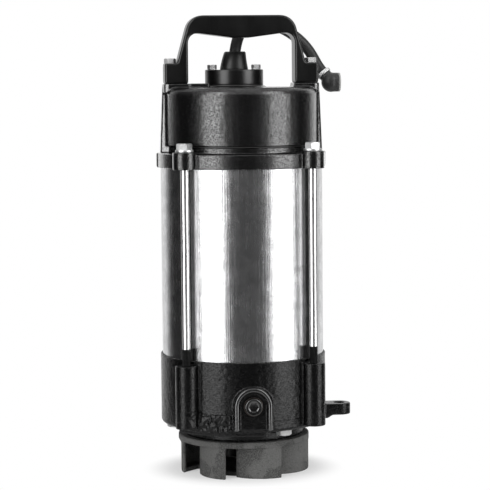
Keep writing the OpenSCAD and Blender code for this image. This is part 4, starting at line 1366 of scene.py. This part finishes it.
@dataclass
class CasingGroup:
    """Pump casing, its bolts from below and its drain plug."""

    radius: float = 0.080
    top: float = 0.1148
    chamber_radius: float = 0.072
    socket_radius: float = 0.0782
    boss_circle: float = 0.0855
    boss_radius: float = 0.011
    boss_top: float = 0.111
    suction_circle: float = 0.067
    suction_seat: float = 0.048
    port_z: float = 0.0725
    port_radii: tuple[float, float] = (0.019, 0.026)
    port_reach: float = 0.108
    arch_radii: tuple[float, float] = (0.0185, 0.0132)
    arch_face: float = 0.0845
    arch_half: float = 0.00265
    arch_foot: float = 0.036
    arch_depth: float = 0.0026
    pad_x: tuple[float, float] = (-0.060, -0.017)
    pad_top: float = 0.068
    plug_head: float = 0.016
    plug_thick: float = 0.003
    plug_thread: float = 0.013
    washer_radius: float = 0.009
    washer_thick: float = 0.0012

    def casing(self) -> None:
        """Makes the casting, with its known rounds and flats kept true."""
        surfaces = [
            *rounds(self.radius, self.chamber_radius, self.socket_radius),
            *four_lugs(self.boss_circle, self.boss_radius),
            *rounds(*self.arch_radii, centre=(0.0, ARCH_Z), axis=1),
            *rounds(*self.port_radii, centre=(0.0, self.port_z), axis=1),
            *flats(2, self.top, self.boss_top),
            *flats(1, -self.arch_face, -ARCH_FLOOR, self.port_reach),
        ]
        casting(
            "casing_casting", "pump_casing", "cast_paint", "cast_paint",
            voxel=0.0008, passes=5, surfaces=surfaces, most=190000, shape=self.lumps,
        )

    def lumps(self, spot: Point) -> Point:
        """Rounds the rim of the arch, and gives the wall fine lumps and the pad deep ones.

        Args:
            spot: a point of the softened casting.

        Returns:
            The point where it ends up.
        """
        x, y, z = spot
        reach = hypot(x, y)
        if y < -ARCH_FLOOR and z > self.arch_foot:
            off = abs(hypot(x, max(0.0, z - ARCH_Z)) - ARCH_RADIUS) / self.arch_half
            if off < 1.15:
                fall = 1 - sqrt(max(0.0, 1 - min(off, 1.0) ** 2))
                return (x, min(y + self.arch_depth * fall, -ARCH_FLOOR), z)
        inner = reach < self.radius - 0.002 or abs(z - self.top) < 0.0015
        if inner or y > 0.07 or x > 0.083:
            return spot
        depth = 0.0003 * (0.5 + 0.5 * lump(spot, 0.0036))
        if y < 0 and self.pad_x[0] < x < self.pad_x[1] and z < self.pad_top:
            rag = lump(spot, 0.0065) + 0.6 * lump(spot, 0.0028)
            raised = min(1.0, max(0.0, (reach - self.radius) / 0.0006))
            depth += 0.0016 * max(0.0, 0.3 + rag) * raised
        return sunk(spot, depth)

    def plug(self, stand: Matrix) -> bpy.types.Object:
        """Makes the socket-headed drain plug.

        Args:
            stand: where it stands, with its head along the local z axis.

        Returns:
            The plug.
        """
        thread, head, socket = self.plug_thread / 2, self.plug_head / 2, 0.004
        seat = self.washer_thick
        face = seat + self.plug_thick
        rings = (
            (thread * 0.9, -0.0078),
            (thread, -0.0070),
            (thread, seat),
            (head * 0.985, seat),
            (head, seat + 0.0003),
            (head, face - 0.0008),
            (head * 0.97, face - 0.0002),
            (head * 0.93, face),
            (0.0052, face),
            (0.0047, face - 0.0002),
            (hexagon(socket), face - 0.0006),
            (hexagon(socket), face - 0.0036),
            (socket * 0.5, face - 0.0039),
        )
        return turned("drain_plug_piece", rings, 96, 30.0, stand, solid=True)

    def build(self) -> None:
        """Makes the casing and what is screwed into it."""
        self.casing()
        stand = Matrix.Translation((0.0, -ARCH_FLOOR, ARCH_Z))
        stand = stand @ Matrix.Rotation(pi / 2, 4, "X")
        fit_out(self.plug(stand), "plug_steel", "bolt_steel", "drain_plug")
        size = (self.plug_thread / 2 + 0.0001, self.washer_radius, self.washer_thick)
        outline = collar(*size, self.washer_thick / 4)
        ring = turned("drain_washer_piece", outline, 64, stand=stand)
        fit_out(ring, "washer_copper", "copper", "drain_plug_washer")
        bolt = HexBolt(*M8, length=0.019, thread=0.012).build("suction_bolt")
        stand = Matrix.Translation((0, 0, self.suction_seat)) @ Matrix.Rotation(pi, 4, "X")
        CIRCLE.lay_out(
            "suction_bolts", "suction_plate_bolts", bolt, stand,
            count=3, radius=self.suction_circle, first_deg=-62.0,
        )


# ---- Motor shell ----


@dataclass
class MotorShell:
    """Upper bracket and the four tie bolts that clamp the tube."""

    socket_radius: float = 0.0781
    bracket_radius: float = 0.081
    spigot_radius: float = 0.0695
    bracket_low: float = 0.2952
    bracket_top: float = 0.3092
    lug_top: float = 0.3117
    lug_radius: float = 0.011
    washer_bore: float = 0.0043
    washer_radius: float = 0.0085
    washer_thick: float = 0.0023
    bolt_circle: float = 0.0855
    bolt_low: float = 0.085

    def build(self) -> None:
        """Makes the bracket, the tie bolts and their washers."""
        surfaces = [
            *rounds(self.bracket_radius, self.spigot_radius, self.socket_radius),
            *four_lugs(self.bolt_circle, self.lug_radius),
            *flats(2, self.bracket_low, self.bracket_top, self.lug_top),
        ]
        casting(
            "bracket_casting", "upper_bracket", "cover_paint", "cast_paint",
            voxel=0.0008, passes=4, surfaces=surfaces, most=170000,
        )
        seat = self.lug_top + self.washer_thick
        bolt = HexBolt(*M8, length=seat - self.bolt_low, thread=THREAD_TOP - self.bolt_low)
        CIRCLE.lay_out(
            "tie_bolt_set", "tie_bolts", bolt.build("tie_bolt"), Matrix.Translation((0, 0, seat)),
            count=4, radius=self.bolt_circle, first_deg=45.0, finish="tie_bolt_steel",
        )
        size = (self.washer_bore, self.washer_radius, self.washer_thick)
        ring = turned("tie_washer", collar(*size, self.washer_thick / 4), 64)
        CIRCLE.lay_out(
            "tie_washer_set", "tie_washers", ring, Matrix.Translation((0, 0, self.lug_top)),
            count=4, radius=self.bolt_circle, first_deg=45.0,
        )


# ---- Head: cover, handle and gland ----


@dataclass
class CoverHead:
    """Top cover, carrying handle and cable gland."""

    cover_radius: float = 0.073
    cover_bore: float = 0.066
    cover_low: float = 0.3162
    cover_top: float = 0.3712
    column_faces: tuple[float, float] = (0.0085, 0.0135)
    column_slope_x: float = 0.0705
    pad_top: float = 0.3752
    handle_depth: float = 0.027
    bolt_x: float = 0.068
    bolt_low: float = 0.2992
    foot_height: float = 0.0193
    gland: tuple[float, float] = (-0.004, 0.02)
    gland_top: float = 0.3882
    boot_top: float = 0.4057
    screw_x: float = 0.0215
    screw_low: float = 0.3662

    def castings(self) -> None:
        """Makes the cover, and the handle with its well-rounded edges."""
        surfaces = [
            *rounds(self.cover_radius, self.cover_bore),
            *flats(2, self.cover_low, self.cover_top, self.pad_top),
            *flats(1, *(side * face for face in self.column_faces for side in (1, -1))),
        ]
        casting(
            "cover_casting", "top_cover", "cover_paint", "cover_paint",
            voxel=0.0008, passes=5, surfaces=surfaces, most=185000, shape=self.dress_columns,
        )
        half = self.handle_depth / 2
        foot_top = self.pad_top + self.foot_height
        surfaces = flats(1, half, -half) + flats(2, self.pad_top, foot_top)
        casting(
            "handle_moulding", "handle", "handle_plastic", "handle_plastic",
            voxel=0.0008, passes=22, surfaces=surfaces, most=120000,
        )

    def dress_columns(self, spot: Point) -> Point:
        """Slopes the outer part of each column's face, and gives the wall its fine lumps.

        Args:
            spot: a point of the softened cover.

        Returns:
            The point where it ends up.
        """
        x, y, z = spot
        slope = max(0.0, abs(x) - self.column_slope_x) * 0.55
        core = 0.004
        if slope and abs(y) > core:
            return (x, copysign(abs(y) - slope * min(1.0, (abs(y) - core) / core), y), z)
        if hypot(x, y) < self.cover_radius - 0.001 or slope:
            return spot
        return sunk(spot, 0.00015 * (0.5 + 0.5 * lump(spot, 0.0038)))

    def boot(self) -> bpy.types.Object:
        """Makes the rubber boot, a tapered strain relief that leans with the lead.

        Returns:
            The boot.
        """
        bore = 0.0056
        low, top = self.gland_top, self.boot_top
        outline = [
            (bore, low - 0.0127),
            (0.0085, low - 0.0127),
            (0.0085, low),
            (0.0135, low),
            (0.0137, low + 0.0005),
            (0.0136, low + 0.0015),
            (0.0122, low + 0.0085),
            (0.0110, low + 0.0145),
            (0.0106, top - 0.0012),
            (0.0098, top - 0.0002),
            (0.0088, top),
            (0.0066, top - 0.0002),
            (bore, top - 0.0008),
        ]
        rows = []
        for (r0, z0), (r1, z1) in zip(outline, outline[1:] + outline[:1]):
            cuts = max(1, int(abs(z1 - z0) / 0.0015))
            rows.extend((r0 + (r1 - r0) * k / cuts, z0 + (z1 - z0) * k / cuts) for k in range(cuts))
        stand = Matrix.Translation((*self.gland, 0.0))
        boot = turned("boot_moulding", rows, 96, 40.0, stand)
        line = FreeLead().line()[:45]
        heights = [p.z for p in line]
        leans = [[p[a] - self.gland[a] for p in line] for a in (0, 1)]
        for vert in boot.data.vertices:
            if vert.co.z > 0.392:
                for a in (0, 1):
                    vert.co[a] += np.interp(vert.co.z, heights, leans[a])
        return boot

    def build(self) -> None:
        """Makes the head's castings, the gland and the screws."""
        self.castings()
        seat = self.pad_top + self.foot_height
        bolt = HexBolt(*M6, length=seat - self.bolt_low, thread=0.018, pitch=0.001)
        CIRCLE.lay_out(
            "handle_bolt_pair", "handle_bolts", bolt.build("handle_bolt"),
            Matrix.Translation((0, 0, seat)), count=2, radius=self.bolt_x, finish="bright_steel",
        )
        casting(
            "gland_casting", "gland_flange", "gland_paint", "cover_paint",
            voxel=0.00055, passes=4, surfaces=flats(2, self.gland_top), most=90000,
        )
        length = self.gland_top - self.screw_low
        screw = HexBolt(*M5, length=length, thread=0.012, pitch=0.0008, flange=0.0045)
        CIRCLE.lay_out(
            "gland_screw_pair", "gland_screws", screw.build("gland_screw"),
            Matrix.Translation((0, 0, self.gland_top)), count=2, radius=self.screw_x,
            finish="bright_steel", centre=(*self.gland, 0.0),
        )
        fit_out(self.boot(), "rubber", "rubber", "gland_boot")


@dataclass
class InnerWorks:
    """Pieces inside the shell: the impeller as a casting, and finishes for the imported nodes."""

    impeller_radius: float = 0.050

    def build(self) -> None:
        """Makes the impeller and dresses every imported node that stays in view."""
        casting(
            "impeller_casting", "impeller", "impeller_iron", "impeller_iron",
            voxel=0.0006, passes=4, surfaces=rounds(self.impeller_radius), most=120000,
            body=Body.ROTOR,
        )
        slots = {row["node"]: row["material_slot"] for row in frame["record"]["subparts"]}
        for node, thing in frame["nodes"].items():
            finish = "lead_inner" if slots[node] == "lead_rubber" else slots[node]
            if not thing.material_slots:
                thing.data.materials.append(paint(finish))
            for place in thing.material_slots:
                place.material = paint(finish)
        log.info("%d packed nodes dressed", len(frame["nodes"]))


def main() -> None:
    """Builds the studio and the pump, piece by piece."""
    logging.basicConfig(level=logging.INFO, format="%(message)s")
    Studio().build()
    FreeLead().build()
    StrainerFoot().build()
    CasingGroup().build()
    MotorShell().build()
    CoverHead().build()
    InnerWorks().build()


if __name__ == "__main__":
    main()
